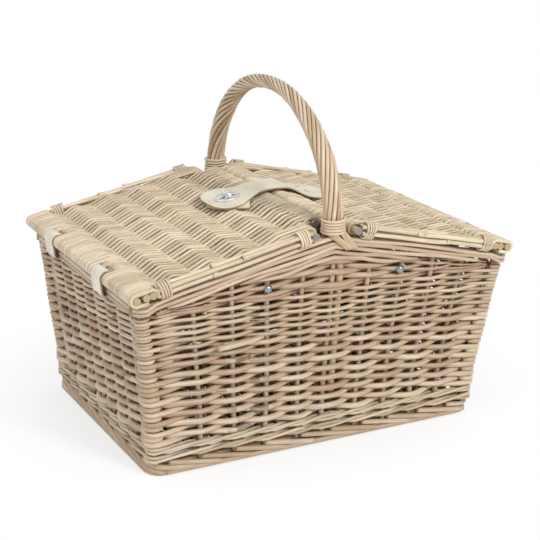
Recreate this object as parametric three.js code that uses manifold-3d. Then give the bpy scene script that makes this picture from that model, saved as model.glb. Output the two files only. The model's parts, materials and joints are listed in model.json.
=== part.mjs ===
import * as THREE from 'three';
import { mergeVertices } from 'three/addons/utils/BufferGeometryUtils.js';
import Module from 'manifold-3d';

const wasm = await Module();
wasm.setup();

// A willow picnic hamper with a pitched top: two lids hinge at the short ends and meet at a
// ridge under a fixed bow handle, and a leather strap with a turn button holds them shut.
// Millimetres, +Z up, +X along the hamper, origin on the ground under its middle.

// Body of the basket
const topLength = 460;
const topWidth = 308;
const baseLength = 407;
const baseWidth = 276;
const endHeight = 199;
const ridgeHeight = 247;
const clearance = 0.3;

// Woven walls: upright stakes, a waled band at the foot, plain rows, and thick packing rows
const stakeRadius = 2.8;
const wallRod = 5;
const longWallBays = 10;
const shortWallBays = 6;
const bowStakeGap = 9;
const waleRows = 3;
const walePitch = 6.5;
const plainRows = 18;
const plainTop = 175;
const finestRow = 0.78;
const packingRows = 3;
const postWidth = 19.5;
const postChamfer = 4.5;
const postGroove = 0.9;

// Foot and floor
const footHeight = 15.4;
const footWidth = 24;
const footCorner = 20;
const footRodStep = 42;
const footRodRelief = 1.5;
const floorStickRadius = 3.5;
const floorRod = 3;
const floorBays = 6;
const floorRowPitch = 20;

// Rim border, laid over the wall tops
const borderWidth = 17;
const borderGroove = 1.8;
const borderRods = 4;
const borderDepthAtEnd = 10;
const borderDepthAtRidge = 25;

// Lids
const stickRadius = 4;
const lidRod = 2.6;
const stickCover = 1;
const lidWidth = 316;
const lidSeat = 1.2;
const ridgeGap = 2;
const pairedStickStep = 7.5;
const ribShares = [0.16, 0.39, 0.59, 0.825];
const railStickGap = 11;
const lidRowPitch = 17.5;
const railWidth = 11;
const railRod = 2.9;
const railLift = 2.3;
const railEndGap = 1;
const notchGap = 9;
const bindingWidth = 9;
const bindingThickness = 1.8;
const bindingInset = 9;

// Leather hinge loops
const loopWidth = 15;
const loopLeather = 1.8;
const loopSpread = 148;
const loopDrop = 14;
const loopLean = 4;

// Handle: a willow core bound with twisted strands, its ends driven down inside the walls
const handleRise = 134.5;
const handleSpring = 250;
const handleRadius = 10.5;
const handleTaper = 2.7;
const handleStrands = 7;
const strandGroove = 1.5;
const strandTwistFoot = 0.012;
const strandTwistTop = 0.068;
const handleStep = 12;
const bowRadius = 4.25;
const bowOffset = 4.6;
const bowFoot = 60;
const whippingThickness = 2.4;
const whippingHeight = 13;
const whippingTurns = 5;
const crossWidth = 17;
const crossSlant = 20;
const crossDrop = 20;

// Fixing studs on the front wall
const studSpacing = 166;
const studHeight = 200;
const studHead = 4.6;
const studDome = 3.6;
const studShank = 1.5;
const washerThickness = 1.2;

// Leather strap with a wide round end on each lid, its eyelet and the turn button
const strapLeather = 2.2;
const rivetCentre = 10;
const strapWaistPull = 1;
const strapArch = 3;
const strapArchFrom = -30;
const strapBend = 42;
const lockEndRadius = 29;
const rivetEndRadius = 23;
const rivetEndPosition = 52;
const rivetPosition = 51;
const rivetSpread = 22;
const rivetHead = 3.4;
const rivetDome = 1.6;
const rivetShank = 1.2;
const buttonPosition = -51;
const buttonCentre = 0;
const patchRadius = 25;
const patchTip = 44;
const patchTurn = 0.14;
const eyeletLength = 29;
const eyeletWidth = 27;
const eyeletThickness = 1.2;
const slotLength = 22;
const slotWidth = 6.5;
const buttonNeck = 2;
const buttonLength = 19.5;
const buttonWidth = 4.8;
const buttonHeight = 5;
const platePlay = 0.6;

// Places that follow from the sizes above
const crest = stakeRadius + wallRod;
const lidCrest = stickRadius + lidRod;
const floorCrest = floorStickRadius + floorRod;
const roofSlope = (ridgeHeight - endHeight) / (topLength / 2);
const roofAngle = Math.atan(roofSlope);
const hingeX = topLength / 2;
const hingeZ = endHeight + lidSeat + lidCrest;
const halfLength = (z) => baseLength / 2 + (topLength - baseLength) / 2 * (z / endHeight);
const halfWidth = (z) => baseWidth / 2 + (topWidth - baseWidth) / 2 * (z / ridgeHeight);
const wallMid = (z) => halfWidth(z) - crest;
const borderTop = (x) => ridgeHeight - roofSlope * Math.abs(x);
const borderDepth = (x) =>
  borderDepthAtRidge + (borderDepthAtEnd - borderDepthAtRidge) * Math.abs(x) / (topLength / 2);
const borderUnder = (x) => borderTop(x) - borderDepth(x);
const lidTop = (x) => hingeZ + (hingeX - Math.abs(x)) * roofSlope + lidCrest / Math.cos(roofAngle);
const v = (x, y, z) => new THREE.Vector3(x, y, z);

// Solids from rings of points, and joins and cuts between solids

function signedVolume(points, faces) {
  let sum = 0;
  for (let i = 0; i < faces.length; i += 3) {
    const [a, b, c] = [points[faces[i]], points[faces[i + 1]], points[faces[i + 2]]];
    sum += a.dot(b.clone().cross(c));
  }
  return sum;
}

// Each span between two rings is a band of triangle pairs. Where a pair has two proud corners,
// its diagonal joins the other two, so that a crossing stands up as a long lens, as a rod does.
function loft(rings, closed = false, proud = () => false) {
  const count = rings[0].length;
  const points = rings.flat();
  const faces = [];
  const spans = closed ? rings.length : rings.length - 1;
  for (let i = 0; i < spans; i += 1) {
    const here = i * count;
    const next = ((i + 1) % rings.length) * count;
    for (let j = 0; j < count; j += 1) {
      const k = (j + 1) % count;
      if (proud(i, j) && proud(i + 1, k)) {
        faces.push(here + j, here + k, next + j, here + k, next + k, next + j);
      } else {
        faces.push(here + j, here + k, next + k, here + j, next + k, next + j);
      }
    }
  }
  if (!closed) {
    const last = (rings.length - 1) * count;
    for (let j = 0; j < count / 2 - 1; j += 1) {
      const [a, b, c, d] = [j, j + 1, count - 2 - j, count - 1 - j];
      faces.push(a, c, b, a, d, c);
      faces.push(last + a, last + b, last + c, last + a, last + c, last + d);
    }
  }
  if (signedVolume(points, faces) < 0) faces.reverse();
  const geometry = new THREE.BufferGeometry().setFromPoints(points);
  geometry.setIndex(faces);
  return geometry;
}

function toSolid(geometry) {
  const bare = geometry.clone();
  bare.deleteAttribute('normal');
  bare.deleteAttribute('uv');
  const merged = mergeVertices(bare, 1e-4);
  return new wasm.Manifold(new wasm.Mesh({
    numProp: 3,
    vertProperties: new Float32Array(merged.attributes.position.array),
    triVerts: new Uint32Array(merged.index.array),
  }));
}

function fromSolid(solid) {
  const mesh = solid.getMesh();
  const geometry = new THREE.BufferGeometry();
  geometry.setAttribute('position', new THREE.BufferAttribute(new Float32Array(mesh.vertProperties), 3));
  geometry.setIndex(new THREE.BufferAttribute(new Uint32Array(mesh.triVerts), 1));
  return geometry;
}

function join(first, ...others) {
  return fromSolid(others.reduce((whole, piece) => whole.add(toSolid(piece)), toSolid(first)));
}

function carve(stock, ...cutters) {
  return fromSolid(cutters.reduce((rest, cutter) => rest.subtract(toSolid(cutter)), toSolid(stock)));
}

function extrudeAcross(shape, width, centreY) {
  const solid = new THREE.ExtrudeGeometry(shape, { depth: width, bevelEnabled: false, curveSegments: 5 });
  return solid.rotateX(Math.PI / 2).translate(0, centreY + width / 2, 0);
}

// Basketwork: each row passes over one stake and under the next, so the crossing of row and
// stake stands proud on one side and shows the bare stake on the other

function weave(stations, rows, place, over, under) {
  const isProud = (station, j, side) => ((station.parity + j) % 2 === 0) === (side > 0);
  const height = (station, j, side) => station.wrapped ?? (isProud(station, j, side) ? over : under);
  const rings = stations.map((station) => {
    const outer = rows(station).map((row, j) => place(station, row, height(station, j, 1)));
    const inner = rows(station).map((row, j) => place(station, row, -height(station, j, -1)));
    return [...outer, ...inner.reverse()];
  });
  const count = rings[0].length;
  const proud = (i, j) => {
    if (stations[i].wrapped) return false;
    return j < count / 2 ? isProud(stations[i], j, 1) : isProud(stations[i], count - 1 - j, -1);
  };
  return loft(rings, false, proud);
}

function wallRows(station) {
  const rows = [];
  const waleTop = footHeight + clearance + waleRows * walePitch;
  for (let j = 0; j < waleRows; j += 1) rows.push(footHeight + clearance + j * walePitch);
  const pitchOf = (j) => 1 + (finestRow - 1) * 2 * (j / (plainRows - 1) - 0.5);
  let total = 0;
  for (let j = 0; j < plainRows; j += 1) total += pitchOf(j);
  let z = waleTop;
  for (let j = 0; j < plainRows; j += 1) {
    rows.push(z);
    z += pitchOf(j) * (plainTop - waleTop) / total;
  }
  for (let j = 0; j <= packingRows; j += 1) {
    rows.push(plainTop + (station.top - plainTop) * j / packingRows);
  }
  return rows;
}

function longWall(side) {
  const stations = [];
  for (let i = 0; i <= longWallBays; i += 1) {
    const share = -1 + 2 * i / longWallBays;
    const reach = topLength / 2 - postWidth;
    const shifts = share === 0 ? [-bowStakeGap, bowStakeGap] : [0];
    shifts.forEach((shift) => {
      const top = borderUnder(share * reach + shift) - clearance;
      stations.push({ share, shift, parity: i, top });
    });
  }
  const place = (station, z, height) => {
    const reach = halfLength(Math.min(z, endHeight)) - postWidth - clearance;
    return v(station.share * reach + station.shift, side * (wallMid(z) + height), z);
  };
  return weave(stations, wallRows, place, crest, stakeRadius);
}

function shortWall(side) {
  const stations = [];
  for (let i = 0; i <= shortWallBays; i += 1) {
    const top = endHeight - borderDepthAtEnd - clearance;
    stations.push({ share: -1 + 2 * i / shortWallBays, parity: i, top });
  }
  const place = (station, z, height) => {
    const reach = halfWidth(z) - postWidth - clearance;
    return v(side * (halfLength(z) - crest + height), station.share * reach, z);
  };
  return weave(stations, wallRows, place, crest, stakeRadius);
}

function cornerPost(sideX, sideY) {
  const top = endHeight - borderDepthAtEnd - clearance;
  const levels = wallRows({ top }).filter((z, j) => j % 2 === 0 || z === top);
  const rings = levels.map((z, j) => {
    const half = postWidth / 2 - (j % 2 === 0 ? 0 : postGroove);
    const flat = half - postChamfer;
    const corners = [[half, -flat], [half, flat], [flat, half], [-flat, half],
      [-half, flat], [-half, -flat], [-flat, -half], [flat, -half]];
    const middle = v(sideX * (halfLength(z) - postWidth / 2), sideY * (halfWidth(z) - postWidth / 2), z);
    return corners.map(([x, y]) => v(middle.x + x, middle.y + y, z));
  });
  return loft(rings);
}

function footBorder() {
  const outline = [];
  const straightX = baseLength / 2 - footCorner;
  const straightY = baseWidth / 2 - footCorner;
  const stepsX = Math.round(2 * straightX / footRodStep);
  const stepsY = Math.round(2 * straightY / footRodStep);
  const arcSteps = 3;
  const sides = [
    { centre: [straightX, straightY], turn: 0, steps: stepsX },
    { centre: [-straightX, straightY], turn: Math.PI / 2, steps: stepsY },
    { centre: [-straightX, -straightY], turn: Math.PI, steps: stepsX },
    { centre: [straightX, -straightY], turn: 3 * Math.PI / 2, steps: stepsY },
  ];
  sides.forEach((side, s) => {
    for (let k = 0; k <= arcSteps; k += 1) {
      const angle = side.turn + k * Math.PI / 2 / arcSteps;
      outline.push({ corner: side.centre, angle });
    }
    const next = sides[(s + 1) % sides.length];
    for (let k = 1; k < side.steps; k += 1) {
      const share = k / side.steps;
      const corner = [0, 1].map((n) => side.centre[n] + (next.centre[n] - side.centre[n]) * share);
      outline.push({ corner, angle: side.turn + Math.PI / 2 });
    }
  });
  const rings = outline.map(({ corner, angle }, i) => {
    const out = [Math.cos(angle), Math.sin(angle)];
    const relief = footRodRelief * (i % 2);
    const other = footRodRelief - relief;
    const section = [
      [footCorner - footWidth, 0], [footCorner - 3, 0], [footCorner - relief, footHeight * 0.3],
      [footCorner - other, footHeight * 0.7], [footCorner - 3, footHeight],
      [footCorner - footWidth, footHeight],
    ];
    return section.map(([r, z]) => v(corner[0] + out[0] * r, corner[1] + out[1] * r, z));
  });
  return loft(rings, true);
}

function floorPanel() {
  const reachX = halfLength(footHeight) - postWidth - clearance;
  const reachY = halfWidth(footHeight) - postWidth - clearance;
  const rowCount = Math.round(2 * reachX / floorRowPitch);
  const stations = [];
  for (let i = 0; i <= floorBays; i += 1) stations.push({ share: -1 + 2 * i / floorBays, parity: i });
  const rows = () => Array.from({ length: rowCount + 1 }, (_, j) => -reachX + 2 * reachX * j / rowCount);
  const middle = footHeight + clearance + floorCrest;
  const place = (station, x, height) => v(x, station.share * reachY, middle + height);
  return weave(stations, rows, place, floorCrest, floorStickRadius);
}

// The border: rods laid side by side over the wall top, drawn as grooves on both faces

function borderSection(rods, top, depth, innerToOuter) {
  const levels = 2 * rods;
  const outer = [];
  const inner = [];
  for (let k = 0; k <= levels; k += 1) {
    const z = top - depth + depth * k / levels;
    const half = borderWidth / 2 - (k % 2 === 0 ? borderGroove : 0);
    outer.push(innerToOuter(half, z));
    inner.push(innerToOuter(-half, z));
  }
  return [...outer, ...inner.reverse()];
}

function longBorder(side) {
  const steps = 8;
  const middle = side * (topWidth / 2 - borderWidth / 2);
  const rings = [];
  for (let i = 0; i <= steps; i += 1) {
    const x = topLength * (i / steps - 0.5);
    const place = (across, z) => v(x, middle + side * across, z);
    rings.push(borderSection(borderRods, borderTop(x), borderDepth(x), place));
  }
  return loft(rings);
}

function shortBorder(side) {
  const reach = topWidth / 2 - borderWidth - clearance;
  const middle = side * (topLength / 2 - borderWidth / 2);
  const rings = [-reach, reach].map((y) => {
    const place = (across, z) => v(middle + side * across, y, z);
    return borderSection(borderRods / 2, endHeight, borderDepthAtEnd, place);
  });
  return loft(rings);
}

// The bow: an elliptical arch of twisted strands, drawn in to its bare core at both feet

function handlePath() {
  const spread = wallMid(handleSpring);
  const arch = [];
  const steps = Math.round(Math.PI * (spread + handleRise) / 2 / handleStep);
  let turned = 0;
  for (let i = 0; i <= steps; i += 1) {
    const angle = Math.PI * i / steps;
    const height = Math.sin(angle);
    arch.push({
      centre: v(0, -spread * Math.cos(angle), handleSpring + handleRise * height),
      along: v(0, spread * Math.sin(angle), handleRise * Math.cos(angle)).normalize(),
      radius: handleRadius - handleTaper * height,
      turned,
    });
    turned += handleStep * (strandTwistFoot + (strandTwistTop - strandTwistFoot) * height);
  }
  return arch;
}

function handleBow() {
  const arch = handlePath();
  const sectionPoints = 2 * handleStrands;
  const ring = ({ centre, along, radius, turned }, groove) => {
    const across = v(1, 0, 0);
    const upward = along.clone().cross(across);
    return Array.from({ length: sectionPoints }, (_, k) => {
      const angle = 2 * Math.PI * k / sectionPoints + turned;
      const reach = radius - (k % 2) * groove;
      return centre.clone()
        .addScaledVector(across, reach * Math.cos(angle))
        .addScaledVector(upward, reach * Math.sin(angle));
    });
  };
  const leg = (side, turned) => [bowFoot, ridgeHeight + clearance].map((z) => ({
    centre: v(bowOffset, side * wallMid(z), z),
    along: v(0, 0, -side),
    radius: bowRadius,
    turned,
  }));
  const front = leg(-1, arch[0].turned).map((stop) => ring(stop, 0));
  const back = leg(1, arch.at(-1).turned).reverse().map((stop) => ring(stop, 0));
  const strands = arch.map((stop) => ring(stop, strandGroove));
  return loft([...front, ...strands, ...back]);
}

function bowChannel(side) {
  const rings = [bowFoot - clearance, ridgeHeight + 2 * clearance].map((z) => {
    const reach = (bowRadius + clearance) / Math.cos(Math.PI / 8);
    return Array.from({ length: 8 }, (_, k) => {
      const angle = 2 * Math.PI * (k + 0.5) / 8;
      return v(bowOffset + reach * Math.cos(angle), side * wallMid(z) + reach * Math.sin(angle), z);
    });
  });
  return loft(rings);
}

// The whipping: turns of fine rod round the foot of the bow, then down across the border

function handleWhipping(side) {
  const bore = handleRadius + 2 * clearance;
  const base = ridgeHeight + 3 * clearance;
  const profile = [new THREE.Vector2(bore, base)];
  for (let k = 0; k <= 2 * whippingTurns; k += 1) {
    const groove = k % 2 === 0 ? whippingThickness * 0.35 : 0;
    const z = base + whippingHeight * k / (2 * whippingTurns);
    profile.push(new THREE.Vector2(bore + whippingThickness - groove, z));
  }
  profile.push(new THREE.Vector2(bore, base + whippingHeight), new THREE.Vector2(bore, base));
  const collar = new THREE.LatheGeometry(profile, 12).rotateX(Math.PI / 2);
  collar.translate(0, side * wallMid(handleSpring), 0);
  const face = topWidth / 2 + clearance;
  const collarFace = wallMid(handleSpring) + bore + clearance;
  const stops = [
    { x: 0, y: collarFace, z: base + whippingHeight * 0.4 },
    { x: 0, y: collarFace, z: handleSpring - clearance },
    { x: 1, y: face, z: ridgeHeight - 1 },
    { x: crossSlant, y: face, z: ridgeHeight - crossDrop },
  ];
  const rings = stops.map((stop) => {
    const ridges = [];
    for (let k = 0; k <= 6; k += 1) {
      const proud = whippingThickness - (k % 2 === 0 ? whippingThickness * 0.4 : 0);
      ridges.push(v(stop.x + crossWidth * (k / 6 - 0.5), side * (stop.y + proud), stop.z));
    }
    const flat = ridges.map((point) => v(point.x, side * stop.y, stop.z));
    return [...ridges, ...flat.reverse()];
  });
  return join(collar, loft(rings));
}

// A lid, built on the left side and mirrored for the right. Its own directions are `along`,
// up the slope from the hinge stick to the ridge, and `lift`, square to the woven sheet.

const lidPlace = (along, y, lift) => {
  const [c, s] = [Math.cos(roofAngle), Math.sin(roofAngle)];
  return v(-hingeX + along * c - lift * s, y, hingeZ + along * s + lift * c);
};
const ridgeReach = (hingeX - ridgeGap / 2) / Math.cos(roofAngle) - lidCrest * Math.tan(roofAngle);
const weaveHalf = lidWidth / 2 - railWidth - clearance;
const wrapReach = lidCrest * 0.92;
const endStickGap = 2 * stickRadius + loopLeather + 2 * clearance;
const endStickAlongs = [endStickGap, endStickGap + pairedStickStep];
const ridgeStickAlongs = [ridgeReach - wrapReach - pairedStickStep, ridgeReach - wrapReach];
const railStickOffset = ridgeStickAlongs[0] - railStickGap;
const ribSpan = railStickOffset - endStickAlongs[1];
const ribOffsets = ribShares.map((share) => endStickAlongs[1] + share * ribSpan);
const handleClear = handleRadius + 2 * clearance + whippingThickness;
const ridgeStickHalf = wallMid(handleSpring) - handleClear - notchGap;

function tiltedBlock(alongFrom, alongTo, yFrom, yTo, liftHalf) {
  const shape = new THREE.BoxGeometry(alongTo - alongFrom, yTo - yFrom, 2 * liftHalf);
  shape.rotateY(-roofAngle);
  const middle = lidPlace((alongFrom + alongTo) / 2, (yFrom + yTo) / 2, 0);
  return shape.translate(middle.x, middle.y, middle.z);
}

function lidStick(along, half, radius = stickRadius) {
  const middle = lidPlace(along, 0, 0);
  const stick = new THREE.CylinderGeometry(radius, radius, 2 * half, 8);
  return stick.rotateY(-roofAngle).translate(middle.x, 0, middle.z);
}

function lidSticks() {
  return [
    { name: 'hinge_stick', alongs: [0], half: lidWidth / 2 },
    { name: 'end_sticks', alongs: endStickAlongs, half: lidWidth / 2 },
    ...ribOffsets.map((along, i) => ({ name: `rib_${i + 1}`, alongs: [along], half: weaveHalf })),
    { name: 'rail_stick', alongs: [railStickOffset], half: lidWidth / 2 },
    { name: 'ridge_sticks', alongs: ridgeStickAlongs, half: ridgeStickHalf },
  ];
}

function stickGeometry({ alongs, half }) {
  return join(...alongs.map((along) => lidStick(along, half)));
}

function lidWeave() {
  const rounding = lidCrest * 0.4;
  const shoulder = lidCrest * 0.8;
  const between = (from, to) => ({ along: (from + to) / 2, wrapped: lidRod * 0.8 });
  const bays = ribOffsets.flatMap((along, i) => [
    { along, parity: i },
    between(along, ribOffsets[i + 1] ?? railStickOffset),
  ]);
  const stations = [
    { along: -wrapReach, wrapped: rounding },
    { along: -wrapReach / 2, wrapped: shoulder },
    { along: 0, wrapped: lidCrest },
    { along: endStickAlongs[1], wrapped: lidCrest },
    between(endStickAlongs[1], ribOffsets[0]),
    ...bays,
    { along: railStickOffset, wrapped: lidCrest },
    { along: ridgeStickAlongs[1], wrapped: lidCrest },
    { along: ridgeReach - wrapReach / 2, wrapped: shoulder },
    { along: ridgeReach, wrapped: rounding },
  ];
  const rowCount = Math.round(2 * weaveHalf / lidRowPitch);
  const rowAt = (_, j) => -weaveHalf + 2 * weaveHalf * j / rowCount;
  const rows = () => Array.from({ length: rowCount + 1 }, rowAt);
  const place = (station, y, height) => lidPlace(station.along, y, height);
  const sheet = weave(stations, rows, place, lidCrest, stickRadius + stickCover);
  const tunnels = lidSticks().flatMap(({ alongs, half, name }) => {
    const reach = name === 'ridge_sticks' ? half + clearance : lidWidth;
    return alongs.map((along) => lidStick(along, reach, stickRadius + clearance));
  });
  const thick = 2 * lidCrest;
  const notches = [-1, 1].map((side) => {
    const y = [side * ridgeStickHalf, side * lidWidth].sort((a, b) => a - b);
    return tiltedBlock(railStickOffset + lidCrest, ridgeReach + thick, y[0], y[1], thick);
  });
  const loopNotches = [-1, 1].map((side) => {
    const y = side * loopSpread / 2;
    const half = loopWidth / 2 + 2;
    return tiltedBlock(-thick, endStickAlongs[1] - stickRadius, y - half, y + half, thick);
  });
  const bindingGaps = lidBindings(3 * clearance);
  return carve(sheet, ...tunnels, ...notches, ...loopNotches, ...bindingGaps);
}

// Side rails: four rods laid along the woven edge, between the end sticks and the ridge

const railFrom = endStickAlongs[1] + stickRadius + railEndGap;
const railTo = railStickOffset - stickRadius - railEndGap;

function lidRail(side) {
  const across = railWidth / 2 - railRod;
  const middle = side * (lidWidth / 2 - railWidth / 2);
  const length = railTo - railFrom;
  const centre = lidPlace((railFrom + railTo) / 2, 0, 0);
  const corners = [[-1, -1], [1, -1], [-1, 1], [1, 1]];
  const rods = corners.map(([y, lift]) => {
    const rod = new THREE.CylinderGeometry(railRod, railRod, length, 7).rotateZ(Math.PI / 2);
    rod.translate(0, 0, lift * railLift).rotateY(-roofAngle);
    return rod.translate(centre.x, middle + y * across, centre.z);
  });
  const heart = tiltedBlock(railFrom, railTo, middle - across, middle + across, railLift);
  return join(heart, ...rods);
}

function lidBindings(extra = 0) {
  const places = [railFrom + bindingInset, railTo - bindingInset];
  const reach = bindingThickness + clearance + extra;
  const liftHalf = railLift + railRod + clearance;
  return [-1, 1].flatMap((side) => places.map((along) => {
    const outer = side * lidWidth / 2;
    const inner = side * (lidWidth / 2 - railWidth);
    const y = [outer + side * (clearance + bindingThickness), inner - side * reach].sort((a, b) => a - b);
    const from = along - bindingWidth / 2 - extra;
    const to = along + bindingWidth / 2 + extra;
    const turn = tiltedBlock(from, to, y[0], y[1], liftHalf + bindingThickness + extra);
    if (extra > 0) return turn;
    const hollow = [outer + side * clearance, inner - side * clearance].sort((a, b) => a - b);
    return carve(turn, tiltedBlock(from - 1, to + 1, hollow[0], hollow[1], liftHalf));
  }));
}

// A hinge loop: a leather band round the hinge stick and the outer rod of the rim border

function loopShape(grow) {
  const eye = [-hingeX, hingeZ];
  const foot = [-hingeX + loopLean, hingeZ - loopDrop];
  const radius = stickRadius + clearance + grow;
  const lean = Math.atan2(eye[0] - foot[0], eye[1] - foot[1]);
  const shape = new THREE.Shape();
  shape.absarc(eye[0], eye[1], radius, -lean, Math.PI - lean, false);
  shape.absarc(foot[0], foot[1], radius, Math.PI - lean, 2 * Math.PI - lean, false);
  shape.closePath();
  return shape;
}

function hingeLoop(y, grow = 0) {
  const band = extrudeAcross(loopShape(loopLeather + grow), loopWidth + 2 * grow, y);
  const hole = extrudeAcross(loopShape(-grow), loopWidth + 4, y);
  return carve(band, hole);
}

// Studs through the front wall, each with a washer clenched inside

function wallStud(x, extra = 0) {
  const seat = wallMid(studHeight) + crest + clearance;
  const washer = wallMid(studHeight) - crest - clearance;
  const profile = [
    [0, washer - washerThickness], [studHead, washer - washerThickness], [studHead, washer],
    [studShank + extra, washer], [studShank + extra, seat], [studHead, seat],
    [studHead * 0.72, seat + studDome * 0.7], [0, seat + studDome],
  ].map(([r, h]) => new THREE.Vector2(r, h));
  const stud = new THREE.LatheGeometry(profile, 10);
  return stud.rotateX(Math.PI).translate(x, 0, studHeight);
}

function studBore(x) {
  const length = 4 * crest;
  const bore = new THREE.CylinderGeometry(studShank + clearance, studShank + clearance, length, 8);
  return bore.translate(x, -wallMid(studHeight), studHeight);
}

// Strap and catch. The strap lies on the right lid, arches over the ridge and lies on the patch
// that is sewn to the left lid; its eyelet drops over the neck of the turn button.

const boreLength = 6 * lidCrest;
const rivetPlaces = [-1, 1].map((side) => rivetCentre + side * rivetSpread / 2);

function strapLine() {
  const raised = 2 * clearance + strapLeather;
  const arch = [0, 0.25, 0.5, 0.75, 1].map((share) => {
    const x = strapArchFrom + (strapBend - strapArchFrom) * share;
    const seat = raised + (clearance - raised) * share;
    return [x, lidTop(x) + seat + strapArch * Math.sin(Math.PI * share)];
  });
  const lockEnd = buttonPosition - lockEndRadius;
  const rivetEnd = rivetEndPosition + rivetEndRadius;
  return [[lockEnd, lidTop(lockEnd) + raised], ...arch, [rivetEnd, lidTop(rivetEnd) + clearance]];
}

// Seen from above, each end is three quarters of a disc, and the edges draw in to the waist
function strapPlan() {
  const corner = 3 * Math.PI / 4;
  const pull = strapWaistPull / Math.SQRT2;
  const [right, left] = [rivetEndRadius / Math.SQRT2, lockEndRadius / Math.SQRT2];
  const plan = new THREE.Shape();
  plan.absarc(rivetEndPosition, rivetCentre, rivetEndRadius, -corner, corner, false);
  plan.bezierCurveTo(
    rivetEndPosition - right - pull, rivetCentre + right - pull,
    buttonPosition + left + pull, buttonCentre + left - pull,
    buttonPosition + left, buttonCentre + left,
  );
  plan.absarc(buttonPosition, buttonCentre, lockEndRadius, Math.PI - corner, Math.PI + corner, false);
  plan.bezierCurveTo(
    buttonPosition + left + pull, buttonCentre + pull - left,
    rivetEndPosition - right - pull, rivetCentre + pull - right,
    rivetEndPosition - right, rivetCentre - right,
  );
  return plan;
}

function claspStrap() {
  const line = strapLine();
  const side = new THREE.Shape();
  side.moveTo(...line[0]);
  line.slice(1).forEach((point) => side.lineTo(...point));
  [...line].reverse().forEach(([x, z]) => side.lineTo(x, z + strapLeather));
  side.closePath();
  const bandWidth = 2 * (lockEndRadius + rivetCentre);
  const band = extrudeAcross(side, bandWidth, buttonCentre);
  const cutter = { depth: ridgeHeight, bevelEnabled: false, curveSegments: 7 };
  const outline = new THREE.ExtrudeGeometry(strapPlan(), cutter).translate(0, 0, hingeZ);
  const trimmed = fromSolid(toSolid(band).intersect(toSolid(outline)));
  const holes = rivetPlaces.map((y) => onLid(rivetPosition, y, 0, pin(rivetShank + clearance, boreLength)));
  return carve(trimmed, ...holes, onLid(buttonPosition, buttonCentre, 0, slot(clearance, boreLength)));
}

function pin(radius, height) {
  return new THREE.CylinderGeometry(radius, radius, height, 10).rotateX(Math.PI / 2);
}

function slot(grow, height) {
  const half = slotWidth / 2 + grow;
  const run = slotLength / 2 - slotWidth / 2;
  const shape = new THREE.Shape();
  shape.absarc(run, 0, half, -Math.PI / 2, Math.PI / 2, false);
  shape.absarc(-run, 0, half, Math.PI / 2, 3 * Math.PI / 2, false);
  shape.closePath();
  const solid = new THREE.ExtrudeGeometry(shape, { depth: height, bevelEnabled: false, curveSegments: 4 });
  return solid.translate(0, 0, -height / 2);
}

function onLid(x, y, lift, geometry) {
  const tilt = x < 0 ? -roofAngle : roofAngle;
  return geometry.rotateY(tilt).translate(x + lift * Math.sin(tilt), y, lidTop(x) + lift * Math.cos(tilt));
}

// The patch is a disc drawn out to a point towards the front
function catchPatch() {
  const meet = Math.acos(patchRadius / patchTip);
  const shape = new THREE.Shape();
  shape.absarc(0, 0, patchRadius, meet - Math.PI / 2, 3 * Math.PI / 2 - meet, false);
  shape.lineTo(0, -patchTip);
  shape.closePath();
  const sheet = { depth: strapLeather, bevelEnabled: false, curveSegments: 6 };
  const flat = new THREE.ExtrudeGeometry(shape, sheet).rotateZ(patchTurn);
  const patch = onLid(buttonPosition, buttonCentre, clearance, flat);
  return carve(patch, onLid(buttonPosition, buttonCentre, 0, pin(buttonNeck + clearance, boreLength)));
}

const eyeletLift = 2 * clearance + 2 * strapLeather + clearance;

function eyeletPlate() {
  const oval = new THREE.Shape();
  oval.absellipse(0, 0, eyeletLength / 2, eyeletWidth / 2, 0, 2 * Math.PI, false, 0);
  const sheet = { depth: eyeletThickness, bevelEnabled: false, curveSegments: 12 };
  const plate = new THREE.ExtrudeGeometry(oval, sheet);
  const placed = onLid(buttonPosition, buttonCentre, eyeletLift, plate);
  return carve(placed, onLid(buttonPosition, buttonCentre, 0, slot(0, boreLength)));
}

function catchPost() {
  const foot = new THREE.CylinderGeometry(5.5, 5.5, 1.4, 12).rotateX(Math.PI / 2);
  foot.translate(0, 0, -2 * lidCrest - clearance - 0.7);
  const neckTop = eyeletLift + eyeletThickness + platePlay;
  const length = neckTop + 2 * lidCrest + clearance + 1;
  const neck = pin(buttonNeck, length).translate(0, 0, neckTop - length / 2);
  return onLid(buttonPosition, buttonCentre, 0, join(foot, neck));
}

function turnButton() {
  const bar = new THREE.Shape();
  const end = buttonWidth / 2;
  const run = buttonLength / 2 - end;
  bar.absarc(0, run, end, 0, Math.PI, false);
  bar.absarc(0, -run, end, Math.PI, 2 * Math.PI, false);
  bar.closePath();
  const rounding = 0.8;
  const grip = new THREE.ExtrudeGeometry(bar, {
    depth: buttonHeight - 2 * rounding,
    bevelSize: rounding / 2,
    bevelThickness: rounding,
    bevelSegments: 1,
    curveSegments: 6,
  });
  grip.translate(0, 0, rounding);
  return onLid(buttonPosition, buttonCentre, eyeletLift + eyeletThickness + platePlay + clearance, grip);
}

function strapRivet(y) {
  const under = -2 * lidCrest - clearance;
  const over = clearance + strapLeather + clearance;
  const profile = [
    [0, under - 1], [rivetHead, under - 1], [rivetHead, under], [rivetShank, under],
    [rivetShank, over], [rivetHead, over], [rivetHead * 0.7, over + rivetDome * 0.75], [0, over + rivetDome],
  ].map(([r, h]) => new THREE.Vector2(r, h));
  return onLid(rivetPosition, y, 0, new THREE.LatheGeometry(profile, 10).rotateX(Math.PI / 2));
}

// Assembly

const finish = {
  willow: { color: 0xc2a883, roughness: 0.55, metalness: 0 },
  paleWillow: { color: 0xd6c39e, roughness: 0.55, metalness: 0 },
  cutWillow: { color: 0xb09a78, roughness: 0.7, metalness: 0 },
  leather: { color: 0xd9ccb2, roughness: 0.6, metalness: 0 },
  nickel: { color: 0xc9c9c6, roughness: 0.25, metalness: 1 },
};

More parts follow.
